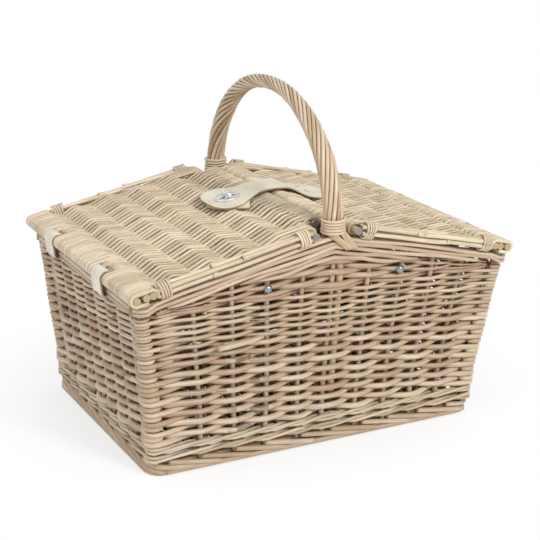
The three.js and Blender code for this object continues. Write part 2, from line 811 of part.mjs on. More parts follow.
function part(name, geometry, look) {
  const mesh = new THREE.Mesh(geometry, new THREE.MeshStandardMaterial(finish[look]));
  mesh.name = name;
  return mesh;
}

function mirrored(geometry) {
  const copy = geometry.clone().scale(-1, 1, 1);
  const index = Array.from(copy.index.array);
  for (let i = 0; i < index.length; i += 3) {
    [index[i], index[i + 1]] = [index[i + 1], index[i]];
  }
  copy.setIndex(index);
  return copy;
}

const loopCut = [-1, 1].map((side) => hingeLoop(side * loopSpread / 2, clearance));

function basketParts() {
  const group = new THREE.Group();
  const channels = [bowChannel(-1), bowChannel(1)];
  const studs = [-studSpacing / 2, studSpacing / 2];
  group.add(part('foot_border', footBorder(), 'willow'));
  group.add(part('floor_panel', floorPanel(), 'willow'));
  group.add(part('front_wall', carve(longWall(-1), channels[0], ...studs.map(studBore)), 'willow'));
  group.add(part('back_wall', carve(longWall(1), channels[1]), 'willow'));
  const leftWall = carve(shortWall(-1), ...loopCut);
  group.add(part('left_wall', leftWall, 'willow'));
  group.add(part('right_wall', mirrored(leftWall), 'willow'));
  group.add(part('front_left_post', cornerPost(-1, -1), 'willow'));
  group.add(part('front_right_post', cornerPost(1, -1), 'willow'));
  group.add(part('back_left_post', cornerPost(-1, 1), 'willow'));
  group.add(part('back_right_post', cornerPost(1, 1), 'willow'));
  group.add(part('front_border', carve(longBorder(-1), channels[0]), 'willow'));
  group.add(part('back_border', carve(longBorder(1), channels[1]), 'willow'));
  const leftBorder = carve(shortBorder(-1), ...loopCut);
  group.add(part('left_border', leftBorder, 'willow'));
  group.add(part('right_border', mirrored(leftBorder), 'willow'));
  group.add(part('front_left_stud', wallStud(studs[0]), 'nickel'));
  group.add(part('front_right_stud', wallStud(studs[1]), 'nickel'));
  return group;
}

function handleParts() {
  const group = new THREE.Group();
  group.add(part('handle_bow', handleBow(), 'willow'));
  group.add(part('front_whipping', handleWhipping(-1), 'willow'));
  group.add(part('back_whipping', handleWhipping(1), 'willow'));
  return group;
}

function hingeParts() {
  const group = new THREE.Group();
  [['front', -1], ['back', 1]].forEach(([place, side]) => {
    const loop = hingeLoop(side * loopSpread / 2);
    group.add(part(`left_${place}_hinge_loop`, loop, 'leather'));
    group.add(part(`right_${place}_hinge_loop`, mirrored(loop), 'leather'));
  });
  return group;
}

function lidParts(name, turn, cuts) {
  const group = new THREE.Group();
  group.add(part(`${name}_lid_weave`, carve(turn(lidWeave()), ...cuts), 'paleWillow'));
  lidSticks().forEach((stick) => {
    group.add(part(`${name}_lid_${stick.name}`, carve(turn(stickGeometry(stick)), ...cuts), 'cutWillow'));
  });
  group.add(part(`${name}_lid_front_rail`, turn(lidRail(-1)), 'paleWillow'));
  group.add(part(`${name}_lid_back_rail`, turn(lidRail(1)), 'paleWillow'));
  const places = ['front_outer', 'front_inner', 'back_outer', 'back_inner'];
  lidBindings().forEach((binding, i) => {
    group.add(part(`${name}_lid_${places[i]}_binding`, turn(binding), 'paleWillow'));
  });
  return group;
}

function claspParts() {
  const group = new THREE.Group();
  group.add(part('clasp_strap', claspStrap(), 'leather'));
  group.add(part('catch_patch', catchPatch(), 'leather'));
  group.add(part('eyelet_plate', eyeletPlate(), 'nickel'));
  group.add(part('catch_post', catchPost(), 'nickel'));
  group.add(part('turn_button', turnButton(), 'nickel'));
  rivetPlaces.forEach((y, i) => group.add(part(`strap_rivet_${i + 1}`, strapRivet(y), 'nickel')));
  return group;
}

const rivetBores = rivetPlaces.map((y) => onLid(rivetPosition, y, 0, pin(rivetShank + clearance, boreLength)));
const postBore = onLid(buttonPosition, buttonCentre, 0, pin(buttonNeck + clearance, boreLength));

const hamper = new THREE.Group();
hamper.add(basketParts());
hamper.add(handleParts());
hamper.add(hingeParts());
hamper.add(lidParts('left', (geometry) => geometry, [postBore]));
hamper.add(lidParts('right', mirrored, rivetBores));
hamper.add(claspParts());

export default hamper;
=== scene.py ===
import json
import random
from math import acos, asin, atan, atan2, copysign, cos, degrees, pi, radians, sin, sqrt

import bmesh
import bpy
from mathutils import Matrix, Vector
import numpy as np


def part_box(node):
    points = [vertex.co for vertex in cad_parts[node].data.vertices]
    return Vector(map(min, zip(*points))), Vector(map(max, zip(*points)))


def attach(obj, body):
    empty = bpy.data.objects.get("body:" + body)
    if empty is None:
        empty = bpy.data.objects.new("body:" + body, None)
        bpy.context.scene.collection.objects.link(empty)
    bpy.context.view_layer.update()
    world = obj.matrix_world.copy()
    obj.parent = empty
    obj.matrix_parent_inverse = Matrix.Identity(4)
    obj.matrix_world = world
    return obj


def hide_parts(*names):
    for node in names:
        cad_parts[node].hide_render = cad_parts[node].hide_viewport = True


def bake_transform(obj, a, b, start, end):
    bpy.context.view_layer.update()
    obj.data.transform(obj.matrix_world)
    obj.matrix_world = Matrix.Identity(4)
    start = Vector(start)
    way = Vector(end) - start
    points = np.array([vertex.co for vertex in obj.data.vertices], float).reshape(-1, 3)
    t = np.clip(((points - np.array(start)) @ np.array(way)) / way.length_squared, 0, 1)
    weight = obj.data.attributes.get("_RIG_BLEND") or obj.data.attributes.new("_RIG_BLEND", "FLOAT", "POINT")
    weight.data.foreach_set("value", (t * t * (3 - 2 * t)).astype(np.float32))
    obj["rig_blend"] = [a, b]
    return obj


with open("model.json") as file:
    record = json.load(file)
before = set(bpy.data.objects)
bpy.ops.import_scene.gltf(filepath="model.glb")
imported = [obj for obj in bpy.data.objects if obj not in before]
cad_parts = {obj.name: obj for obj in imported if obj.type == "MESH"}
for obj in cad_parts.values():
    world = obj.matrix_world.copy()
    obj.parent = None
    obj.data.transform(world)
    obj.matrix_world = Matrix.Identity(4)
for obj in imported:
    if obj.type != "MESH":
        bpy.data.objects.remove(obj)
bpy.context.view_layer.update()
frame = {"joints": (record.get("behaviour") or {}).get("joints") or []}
scene = bpy.context.scene

# Stakes: peeled willow uprights, thicker than the weaving rods. They are driven into the base,
# lean outwards with the walls and end inside the rim. Four thinner ones fill each corner post.

foot_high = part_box("foot_border")[1]
rim_low, rim_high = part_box("front_border")
end_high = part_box("left_border")[1]
post_width = 0.0195
wall_depth = 0.0078
stake_radius = 0.0029
post_stick = 0.0025
post_bundle = 0.0024
long_stakes = 9
short_stakes = 7
stake_foot = foot_high.z - 0.004
long_stake_gap = 0.006
short_stake_gap = 0.007
post_stick_gap = 0.008
bow_gap = 0.005
front_shift = 0.008
right_flare = 0.008
end_drop = 0.0044
base_height = 0.055
base_longer = 0.0070
base_wider = 0.0050
x_axis = Vector((1, 0, 0))
y_axis = Vector((0, 1, 0))
z_axis = Vector((0, 0, 1))


def half_length(z):
    """From the middle to the outer face of an end wall, at a height."""
    return foot_high.x + (rim_high.x - foot_high.x) * z / end_high.z


def half_width(z):
    """From the middle to the outer face of a long wall, at a height."""
    return foot_high.y + (-rim_low.y - foot_high.y) * z / rim_high.z


def rim_top(x):
    return rim_high.z - (rim_high.z - end_high.z) * abs(x) / rim_high.x


def post_centre(side_x, side_y, z):
    x = side_x * (half_length(z) - post_width / 2)
    return Vector((x, side_y * (half_width(z) - post_width / 2), z))


def stake_share(k, count):
    """Place of stake k along its wall, as a share of the way from the middle to a post."""
    return (k - (count - 1) / 2) * 2 / (count + 1)


def stake_shift(side, share):
    """The front wall's stakes stand a little to the right of the back wall's."""
    return front_shift * (1 - share ** 4) if side < 0 else 0.0


def stake_level(step, steps, top):
    return stake_foot + (top - stake_foot) * step / steps


def settle(piece):
    """The rim sinks at both ends, the right end leans out and the base spreads outwards."""
    for vert in piece.verts:
        x, y, z = vert.co
        low = max(0, 1 - z / base_height)
        high = (z / end_high.z) ** 2
        share = x / rim_high.x
        vert.co.x += right_flare * max(share, 0) ** 3 * high
        vert.co.z -= end_drop * share ** 4 * high
        vert.co.x += base_longer * low * x / half_length(z)
        vert.co.y += base_wider * low * y / half_width(z)


def new_piece():
    """An empty mesh whose points carry a place along the grain and a tone of their rod."""
    piece = bmesh.new()
    piece.verts.layers.float_vector.new("grain")
    piece.verts.layers.float.new("tone")
    return piece


def add_rod(piece, rng, points, radii, sides=6, up=z_axis, tone=None, ends=1):
    """Sweeps a round section along the points. Its sawn ends get the material numbered `ends`."""
    if not isinstance(radii, list):
        radii = [radii] * len(points)
    last = len(points) - 1
    frames = []
    for i, point in enumerate(points):
        ahead = (points[min(i + 1, last)] - points[max(i - 1, 0)]).normalized()
        side = ahead.cross(up).normalized()
        turn = Matrix((side * radii[i], side.cross(ahead) * radii[i], ahead)).transposed()
        frames.append(Matrix.Translation(point) @ turn.to_4x4())
    rod = new_piece()
    grain = rod.verts.layers.float_vector["grain"]
    shade = rod.verts.layers.float["tone"]
    bmesh.ops.create_circle(rod, cap_ends=True, segments=sides, radius=1.0, matrix=frames[0])
    start = rng.uniform(0, 9)
    own_tone = rng.random() if tone is None else tone
    inverse = frames[0].inverted()
    for vert in rod.verts:
        local = inverse @ vert.co
        vert[grain] = Vector((start, local.x * radii[0], local.y * radii[0]))
        vert[shade] = own_tone
    rod.faces.ensure_lookup_table()
    caps = [rod.faces[0]]
    edges = rod.edges[:]
    for i in range(last):
        made = bmesh.ops.extrude_edge_only(rod, edges=edges)["geom"]
        ring = [part for part in made if isinstance(part, bmesh.types.BMVert)]
        edges = [part for part in made if isinstance(part, bmesh.types.BMEdge) and part.is_boundary]
        bmesh.ops.transform(rod, matrix=frames[i + 1] @ frames[i].inverted(), verts=ring)
        for vert in ring:
            vert[grain] = vert[grain] + x_axis * (points[i + 1] - points[i]).length
    caps += bmesh.ops.contextual_create(rod, geom=edges)["faces"]
    for face in rod.faces:
        face.smooth = face not in caps
        face.material_index = ends if face in caps else 0
    bmesh.ops.recalc_face_normals(rod, faces=rod.faces)
    mesh = bpy.data.meshes.new("rod")
    rod.to_mesh(mesh)
    rod.free()
    piece.from_mesh(mesh)
    bpy.data.meshes.remove(mesh)


def finish_piece(piece, name, materials, body, nodes):
    """Turns the piece into an object that rides on a body and stands for its CAD nodes."""
    mesh = bpy.data.meshes.new(name)
    piece.to_mesh(mesh)
    piece.free()
    made = bpy.data.objects.new(name, mesh)
    scene.collection.objects.link(made)
    for material in materials:
        mesh.materials.append(material)
    if body:
        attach(made, body)
    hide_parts(*nodes)
    return made


def feed(tree, node, inputs):
    """Sets each named input of a node to a value, or links it to another node's output."""
    for name, value in dict(inputs).items():
        if isinstance(value, bpy.types.NodeSocket):
            tree.links.new(value, node.inputs[name])
        else:
            node.inputs[name].default_value = value


def add_node(tree, kind, inputs=(), **settings):
    node = tree.nodes.new("ShaderNode" + kind)
    for name, value in settings.items():
        setattr(node, name, value)
    feed(tree, node, inputs)
    return node


def noise(tree, place, scale, detail):
    inputs = {"Vector": place, "Scale": scale, "Detail": detail}
    return add_node(tree, "TexNoise", inputs).outputs["Fac"]


def stretched(tree, place, stretch):
    return add_node(tree, "VectorMath", {0: place, 1: stretch}, operation="MULTIPLY").outputs[0]


def ranged(tree, value, low, high, start=0.0, stop=1.0, **settings):
    """Maps a value that runs from start to stop on to low to high."""
    inputs = {"Value": value, "From Min": start, "From Max": stop, "To Min": low, "To Max": high}
    return add_node(tree, "MapRange", inputs, **settings).outputs["Result"]


def mixed_colour(tree, share, one, other):
    inputs = {"Factor": share, "A": one, "B": other}
    return add_node(tree, "Mix", inputs, data_type="RGBA").outputs["Result"]


def colour_ramp(tree, value, *stops):
    """Turns a value into a colour between two stops, each given as (position, colour)."""
    ramp = add_node(tree, "ValToRGB", {"Fac": value})
    for element, (position, colour) in zip(ramp.color_ramp.elements, stops):
        element.position = position
        element.color = (*colour, 1)
    return ramp.outputs["Color"]


def relief(tree, height, strength, depth):
    inputs = {"Height": height, "Strength": strength, "Distance": depth}
    return add_node(tree, "Bump", inputs).outputs["Normal"]


def new_material(name):
    material = bpy.data.materials.new(name)
    material.use_nodes = True
    return material, material.node_tree, material.node_tree.nodes["Principled BSDF"]


def willow_group():
    """Streaked, faintly mottled willow: gives a colour, a roughness and a height."""
    group = bpy.data.node_groups.new("willow grain", "ShaderNodeTree")
    for name in ("Pale", "Deep", "Ruddy"):
        group.interface.new_socket(name, in_out="INPUT", socket_type="NodeSocketColor")
    group.interface.new_socket("Color", in_out="OUTPUT", socket_type="NodeSocketColor")
    group.interface.new_socket("Roughness", in_out="OUTPUT", socket_type="NodeSocketFloat")
    group.interface.new_socket("Height", in_out="OUTPUT", socket_type="NodeSocketFloat")
    colours = group.nodes.new("NodeGroupInput").outputs
    run = add_node(group, "Attribute", attribute_name="grain").outputs["Vector"]
    tone = add_node(group, "Attribute", attribute_name="tone").outputs["Fac"]
    streak = noise(group, stretched(group, run, (45, 1500, 1500)), 1.0, 3.0)
    mottle = noise(group, stretched(group, run, (18, 160, 160)), 1.0, 2.0)
    rod_colour = mixed_colour(group, tone, colours["Pale"], colours["Deep"])
    ruddy_share = ranged(group, mottle, 0.0, 0.60, 0.52, 0.74)
    mottled = mixed_colour(group, ruddy_share, rod_colour, colours["Ruddy"])
    shade = ranged(group, streak, 0.72, 1.14, 0.3, 0.7)
    shaded = add_node(group, "VectorMath", {0: mottled, "Scale": shade}, operation="SCALE").outputs[0]
    many_tones = add_node(group, "Math", {0: tone, 1: 7.13}, operation="MULTIPLY").outputs["Value"]
    own = add_node(group, "Math", {0: many_tones}, operation="FRACT").outputs["Value"]
    hue = ranged(group, own, 0.491, 0.511)
    cast = add_node(group, "HueSaturation", {"Hue": hue, "Color": shaded}).outputs["Color"]
    gloss = ranged(group, streak, 0.28, 0.50)
    leave = group.nodes.new("NodeGroupOutput")
    feed(group, leave, {"Color": cast, "Roughness": gloss, "Height": streak})
    return group


willow_grain = willow_group()


def willow(name, pale, deep, ruddy, bump=0.25):
    """Peeled willow: each rod has a tone between pale and deep, with ruddy patches."""
    material, tree, shader = new_material(name)
    colours = {"Pale": (*pale, 1), "Deep": (*deep, 1), "Ruddy": (*ruddy, 1)}
    look = add_node(tree, "Group", colours, node_tree=willow_grain)
    feed(tree, shader, {
        "Base Color": look.outputs["Color"],
        "Roughness": look.outputs["Roughness"],
        "Normal": relief(tree, look.outputs["Height"], bump, 0.0004),
        "Specular IOR Level": 0.6,
    })
    return material


def sawn_end(name, pale, deep):
    """The cut face of a rod: pale wood with darker specks of pith."""
    material, tree, shader = new_material(name)
    run = add_node(tree, "Attribute", attribute_name="grain").outputs["Vector"]
    speckle = noise(tree, stretched(tree, run, (0, 900, 900)), 2.5, 2.0)
    face = colour_ramp(tree, speckle, (0.35, deep), (0.7, pale))
    feed(tree, shader, {"Base Color": face, "Roughness": 0.8})
    return material


wall_willow = willow("wall willow", (0.64, 0.50, 0.35), (0.42, 0.28, 0.165), (0.42, 0.24, 0.15))
stake_willow = willow("stake willow", (0.60, 0.44, 0.30), (0.46, 0.30, 0.18), (0.42, 0.24, 0.15))
sawn_willow = sawn_end("sawn willow", (0.62, 0.50, 0.36), (0.34, 0.26, 0.18))

stakes = new_piece()
stake_rng = random.Random(3)
for side in (-1, 1):
    for k in range(long_stakes):
        share = stake_share(k, long_stakes)
        shift = stake_shift(side, share) - (bow_gap if share == 0 else 0)
        points = []
        for step in range(9):
            rough_level = min(foot_high.z + step / 8 * 0.18, end_high.z)
            reach = half_length(rough_level) - post_width
            z = stake_level(step, 8, rim_top(share * reach) - long_stake_gap)
            reach = half_length(min(z, end_high.z)) - post_width
            x = share * reach + shift + 0.0006 * sin(k * 2.3 + step * 0.9)
            points.append(Vector((x, side * (half_width(z) - wall_depth), z)))
        add_rod(stakes, stake_rng, points, stake_radius, sides=8, up=y_axis)
    for k in range(short_stakes):
        points = []
        for step in range(7):
            z = stake_level(step, 6, end_high.z - short_stake_gap)
            y = stake_share(k, short_stakes) * (half_width(z) - post_width)
            points.append(Vector((side * (half_length(z) - wall_depth), y, z)))
        add_rod(stakes, stake_rng, points, stake_radius, sides=8, up=x_axis)
    for other in (-1, 1):
        for stick in range(4):
            angle = stick * pi / 2 + 0.4
            offset = Vector((cos(angle), sin(angle), 0)) * post_bundle
            points = []
            for step in range(7):
                z = stake_level(step, 6, end_high.z - post_stick_gap)
                points.append(post_centre(side, other, z) + offset)
            add_rod(stakes, stake_rng, points, post_stick, sides=6, up=y_axis)
settle(stakes)
post_nodes = ["front_left_post", "front_right_post", "back_left_post", "back_right_post"]
finish_piece(stakes, "wall_stakes", [stake_willow, sawn_willow], "basket", post_nodes)


# Wall rows: thin willow rods woven in front of one stake and behind the next, round all four
# walls, with short wraps that fill each corner. Two twisted rounds of finer rods close the foot,
# and five rods that taper to both ends pack each gable up to the rim.

plain_foot = 0.0352
plain_top = 0.1862
middle_spread = 0.007
row_fill = 0.54
lay = 0.94
back_closer = 1.55
left_closer = 1.14
right_closer = 1.42
wale_radius = 0.0020
wale_levels = (foot_high.z + 0.0053, foot_high.z + 0.0146)
packing_rows = 5
packing_reach = 0.205
packing_sizes = {-1: (0.54, 0.0036), 1: (0.70, 0.0048)}
stub_radius = 0.0031
stub_line = (
    (-0.1356, 0.1387), (-0.1250, 0.1389), (-0.1100, 0.1401), (-0.0960, 0.1414), (-0.0800, 0.1420),
)


def row_pitch(z):
    """Rows are spaced wider at the foot, and finer rods close up from 100 mm to 160 mm."""
    coarse = 0.0059
    fine = 0.0039
    t = min(max((z - 0.100) / 0.060, 0), 1)
    return coarse + (fine - coarse) * t * t * (3 - 2 * t)


def rim_depth(x):
    middle = 0.025
    corner = 0.010
    return middle + (corner - middle) * abs(x) / rim_high.x


def ring_stations():
    """Stations in order round the basket: (wall, side, share) at a stake, (corner, x, y) at a post."""
    ring = []
    for side in (-1, 1):
        ring.append(("corner", side, side))
        for k in range(long_stakes):
            ring.append(("long", side, -side * stake_share(k, long_stakes)))
        ring.append(("corner", -side, side))
        for k in range(short_stakes):
            ring.append(("short", -side, -side * stake_share(k, short_stakes)))
    return ring


def crossing(station, z, height):
    """Points where a row passes a station, `height` outside the stakes, with outward directions."""
    wall, side, share = station
    if wall == "long":
        out = y_axis * side
        x = share * (half_length(z) - post_width) + stake_shift(side, share)
        y = side * (half_width(z) - wall_depth + height)
        if share != 0:
            return [(Vector((x, y, z)), out)]
        spread = middle_spread * side
        return [(Vector((x + spread, y, z)), out), (Vector((x - spread, y, z)), out)]
    if wall == "short":
        x = side * (half_length(z) - wall_depth + height)
        return [(Vector((x, share * (half_width(z) - post_width), z)), x_axis * side)]
    turn = atan2(share, side)
    way = 1
    angles = [turn + step * pi / 8 for step in (-2, -1, 0, 1, 2)]
    if height < 0:
        way = -1
        angles = [turn + pi + step * pi / 7 for step in (1, 0, -1)]
    radius = post_width / 2 - wall_depth + abs(height)
    peaks = []
    for angle in angles:
        away = Vector((cos(angle), sin(angle), 0))
        peaks.append((post_centre(side, share, z) + away * radius, away * way))
    return peaks


def woven_row(heights, levels, wobble, rng):
    """Centre line of one row, with its height outside the stakes and its level at each station."""
    line = []
    for station, height, level in zip(stations, heights, levels):
        line.append(crossing(station, level + rng.uniform(-wobble, wobble), height))
    bay_steps = 4
    points = []
    for peaks, after in zip(line, line[1:] + [None]):
        points += [place for place, out in peaks]
        if after is None:
            break
        start, start_out = peaks[-1]
        stop, stop_out = after[0]
        for step in range(1, bay_steps):
            t = step / bay_steps
            flat = start.lerp(stop, t)
            eased = start.lerp(stop, (1 - cos(pi * t)) / 2)
            out = start_out.lerp(stop_out, t).normalized()
            points.append(flat + out * (eased - flat).dot(out))
    return points


def finish_basket(piece, name, nodes):
    """Settles a piece of the basket and finishes it in wall willow."""
    settle(piece)
    finish_piece(piece, name, [wall_willow, sawn_willow], "basket", nodes)


walls = new_piece()
wall_rng = random.Random(11)
# The rows start and end at the back right corner, where nobody looks.
ring = ring_stations()
first = ring.index(("corner", 1, 1))
stations = ring[first:] + ring[:first] + [ring[first]]
row_levels = []
z = plain_foot
while z < plain_top - row_pitch(z) / 2:
    row_levels.append((z + row_pitch(z) / 2, row_pitch(z)))
    z += row_pitch(z)
for j, (middle, pitch) in enumerate(row_levels):
    radius = pitch * row_fill
    drift = wall_rng.uniform(0, 6.28)
    heights = []
    levels = []
    for i in range(len(stations)):
        way = 1 if (i + j) % 2 == 0 else -1
        heights.append((stake_radius + radius) * way * lay)
        levels.append(middle + 0.12 * pitch * sin(i * 0.55 + drift))
    points = woven_row(heights, levels, 0.13 * pitch, wall_rng)
    radii = []
    for k, point in enumerate(points):
        on_long = abs(point.x) < half_length(middle) - post_width
        on_short = not on_long and abs(point.y) < half_width(middle) - post_width
        closer = 1.0
        if point.y > 0 and on_long:
            closer = back_closer
        elif on_short:
            closer = left_closer if point.x < 0 else right_closer
        radii.append(radius * closer * (1 + 0.07 * sin(k * 0.21 + drift)))
    joins = [0, wall_rng.randint(20, 55), wall_rng.randint(70, 95), len(points) - 1]
    for start, stop in zip(joins, joins[1:]):
        stop = min(stop + 3, len(points) - 1) + 1
        add_rod(walls, wall_rng, points[start:stop], radii[start:stop], sides=7)
    for side_x in (-1, 1):
        for side_y in (-1, 1):
            if heights[stations.index(("corner", side_x, side_y))] > 0:
                continue
            reach = post_width / 2 - wall_depth + lay * (stake_radius + radius)
            wrap = []
            for step in range(-5, 6):
                angle = atan2(side_y, side_x) + step * pi / 7.5
                out = Vector((cos(angle), sin(angle), 0))
                lift = z_axis * 0.1 * pitch * step / 5
                wrap.append(post_centre(side_x, side_y, middle) + out * reach + lift)
            add_rod(walls, wall_rng, wrap, radius * 0.97, sides=6)

for middle in wale_levels:
    for phase in range(3):
        heights = []
        levels = []
        for i in range(len(stations)):
            place = (i - phase) % 3
            heights.append((stake_radius + wale_radius) * (-1 if place == 2 else 1))
            levels.append(middle + (-wale_radius, wale_radius, 0)[place] * 1.02)
        points = woven_row(heights, levels, 0.0003, wall_rng)
        add_rod(walls, wall_rng, points, wale_radius, sides=6)

for side, (fill, thickest) in packing_sizes.items():
    for j in range(packing_rows):
        points = []
        radii = []
        for step in range(61):
            x = packing_reach * (step / 30 - 1)
            room = max(rim_top(x) - rim_depth(x) - plain_top, 0.002) / packing_rows
            z = plain_top + room * (j + 0.5) + 0.0006 * sin(step * 0.35 + j * 1.7)
            share = (x - stake_shift(side, 0)) / (half_length(end_high.z) - post_width)
            weave = cos(pi * (share * (long_stakes + 1) / 2 + j))
            height = (stake_radius + 0.0016) * weave
            points.append(Vector((x, side * (half_width(z) - wall_depth + height), z)))
            radii.append(max(min(room * fill, thickest), 0.0010))
        add_rod(walls, wall_rng, points, radii, sides=7, tone=wall_rng.uniform(0.70, 1.0))

# The cut end of one weaving rod is left showing on the front wall.
stub = []
for x, z in stub_line:
    sunk = 0.006 * max(0, (x + 0.100) / 0.020) ** 2
    proud = wall_depth - 2 * stake_radius - 0.0035 + sunk
    stub.append(Vector((x, proud - half_width(z), z)))
add_rod(walls, wall_rng, stub, stub_radius, sides=8, tone=0.2)
finish_basket(walls, "wall_weave", ["front_wall", "back_wall", "left_wall", "right_wall"])


# Foot border: short thick rods laid slantwise one over the next all round the bottom edge, on
# long rods that run round the base. The hamper stands on it.

foot_rod = 0.0031
foot_corner = 0.020
foot_lap = 4 * (foot_high.x + foot_high.y - 2 * foot_corner) + 2 * pi * foot_corner
foot_runs = ((0.0042, 0.0034), (0.0115, 0.0100), (0.0120, 0.0034), (0.0190, 0.0034), (0.0190, 0.0100))
slant_count = 34
slant_length = 0.074
slant_spare = 0.008
slant_top = 0.0136
slant_fall = 0.0106


def foot_point(travel, inset, z):
    """A point at `travel` round the foot's outline, set in from its outer face."""
    straight_x = 2 * (foot_high.x - foot_corner)
    straight_y = 2 * (foot_high.y - foot_corner)
    bend = foot_corner * pi / 2
    legs = (
        (straight_x, Vector((-straight_x / 2, -foot_high.y, z)), x_axis),
        (straight_y, Vector((foot_high.x, -straight_y / 2, z)), y_axis),
        (straight_x, Vector((straight_x / 2, foot_high.y, z)), -x_axis),
        (straight_y, Vector((-foot_high.x, straight_y / 2, z)), -y_axis),
    )
    rest = travel % foot_lap
    for length, start, ahead in legs:
        inward = z_axis.cross(ahead)
        if rest <= length:
            return start + ahead * rest + inward * inset
        rest -= length
        if rest <= bend:
            angle = rest / foot_corner
            out = ahead * sin(angle) - inward * cos(angle)
            return start + ahead * length + inward * foot_corner + out * (foot_corner - inset)
        rest -= bend
    return foot_point(0, inset, z)


foot = new_piece()
foot_rng = random.Random(5)
for inset, z in foot_runs:
    points = [foot_point(foot_lap * k / 140, inset, z) for k in range(141)]
    add_rod(foot, foot_rng, points, foot_rod, sides=6)
for k in range(slant_count):
    start = foot_lap * k / slant_count + foot_rng.uniform(-0.003, 0.003)
    length = slant_length + foot_rng.uniform(-slant_spare, slant_spare)
    points = []
    for step in range(13):
        t = step / 12
        tuck = 0.0015 * (1 - t) + 0.008 * max(0, (t - 0.80) / 0.20) ** 2
        points.append(foot_point(start + length * t, foot_rod + tuck, slant_top - slant_fall * t))
    add_rod(foot, foot_rng, points, foot_rod * foot_rng.uniform(0.9, 1.04), sides=6)
finish_basket(foot, "foot_border_rods", ["foot_border"])


# Floor: willow rods woven across seven long floor sticks. The ends of the rods and sticks are
# tucked inside the walls, on the foot border.

floor_low, floor_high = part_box("floor_panel")
floor_middle = (floor_low.z + floor_high.z) / 2
floor_stick = 0.0034
floor_rod = 0.0033
floor_sticks = 7
floor_rows = 66
floor_fill = 0.985
floor = new_piece()
floor_rng = random.Random(8)
for k in range(floor_sticks):
    y = floor_high.y * (k - (floor_sticks - 1) / 2) / (floor_sticks / 2)
    points = [Vector((floor_high.x * (step - 4) / 4, y, floor_middle)) for step in range(9)]
    add_rod(floor, floor_rng, points, floor_stick, sides=8)
for j in range(floor_rows):
    x = floor_high.x * ((j + 0.5) / floor_rows * 2 - 1) * floor_fill
    points = []
    for step in range(floor_sticks * 4 + 1):
        y = floor_high.y * (step / (floor_sticks * 2) - 1) * floor_fill
        cross = y / (floor_high.y * 2 / floor_sticks) + j
        height = (floor_stick + floor_rod) * 0.95 * cos(pi * cross)
        points.append(Vector((x, y, floor_middle + height)))
    add_rod(floor, floor_rng, points, floor_rod, sides=5)
finish_basket(floor, "woven_floor", ["floor_panel"])


# Rim borders: long thick rods laid side by side over the wall tops, five deep under the ridge
# and two deep at the corners. The shorter ones thin out and tuck in at both ends.

rim_rod = 0.0026
rim_bend = 0.0130
rim_outer = -rim_low.y
rim_drop = 2.06 * rim_rod
rim_packed = 0.84
ridge_depth = 0.0285
depth_lost = 0.015
shortest_rod = 0.09
long_inner_rods = ((0.0085, 0.0029), (0.0140, 0.0030), (0.0140, 0.0085))
end_rods = ((0.0029, 0.0029), (0.0029, 0.0078), (0.0085, 0.0029), (0.0140, 0.0029))


def round_corners(points, radii, side, depth):
    """Carries a rod round both corners on to the end walls."""
    straight = [k for k in range(len(points)) if abs(points[k].x) < rim_high.x - rim_bend - 0.002]
    line = [points[k] for k in straight]
    sizes = [radii[k] for k in straight]
    right = []
    for step in range(6):
        angle = radians(step * 17)
        x = rim_high.x - rim_bend + (rim_bend - rim_rod) * sin(angle)
        y = side * (rim_outer - rim_bend + (rim_bend - rim_rod) * cos(angle))
        right.append(Vector((x, y, end_high.z - depth * rim_packed)))
    left = [Vector((-point.x, point.y, point.z)) for point in reversed(right)]
    return left + line + right, [sizes[0]] * 6 + sizes + [sizes[-1]] * 6


rim = new_piece()
rim_rng = random.Random(21)
for side in (-1, 1):
    for j in range(5):
        depth = rim_rod + j * rim_drop
        reach = min(rim_high.x - 0.004, rim_high.x * (ridge_depth - depth - rim_rod) / depth_lost)
        if reach < 0.05:
            reach = shortest_rod
        points = []
        radii = []
        for step in range(49):
            x = reach * (step / 24 - 1)
            thin = 1 - abs(x) / rim_high.x
            lower = depth * (rim_packed + (1 - rim_packed) * thin)
            z = rim_top(x) - lower + 0.0009 * sin(step * 0.4 + j * 1.9)
            tuck = max(0, (abs(x) - reach + 0.02) / 0.02) * (j > 1)
            inset = rim_rod + 0.0006 * sin(step * 0.3 + j * 2) + 0.004 * tuck ** 2
            points.append(Vector((x, side * (rim_outer - inset), z)))
            radii.append(rim_rod * (rim_packed + 0.12 * thin) * (1 - 0.35 * tuck))
        if j < 2:
            points, radii = round_corners(points, radii, side, depth)
        add_rod(rim, rim_rng, points, radii, sides=8, tone=rim_rng.random() * 0.9)
    for row, (inset, depth) in enumerate(long_inner_rods):
        points = []
        for step in range(41):
            x = (rim_high.x - 0.003) * (step / 20 - 1)
            z = rim_top(x) - depth + 0.0004 * sin(step * 0.5 + row)
            points.append(Vector((x, side * (rim_outer - inset), z)))
        add_rod(rim, rim_rng, points, rim_rod, sides=8)
    for row, (inset, depth) in enumerate(end_rods):
        points = []
        for step in range(21):
            y = (half_width(end_high.z) - 0.0165) * (step / 10 - 1)
            z = end_high.z - depth + 0.0004 * sin(step * 0.6 + row)
            points.append(Vector((side * (rim_high.x - inset), y, z)))
        add_rod(rim, rim_rng, points, rim_rod, sides=8)
finish_basket(rim, "rim_borders", ["front_border", "back_border", "left_border", "right_border"])


# Handle: a stout willow bow bound lengthwise with thin split strands that twist more towards the
# top. Its core goes down inside both walls, beside the middle stakes.

bow_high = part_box("handle_bow")[1]
bow_offset = 0.0046
bow_radius = 0.00425
bow_foot = 0.060
spring = 0.250
foot_thick = 0.0109
top_thick = 0.0078
back_shift = 0.006
strand_count = 11
arch_steps = 84
spread = half_width(spring) - wall_depth
rise = bow_high.z - top_thick - spring


def strand_twist(lift):
    """Radians that the strands turn in each metre, at a share of the bow's rise."""
    return 15 + 44 * lift ** 1.5


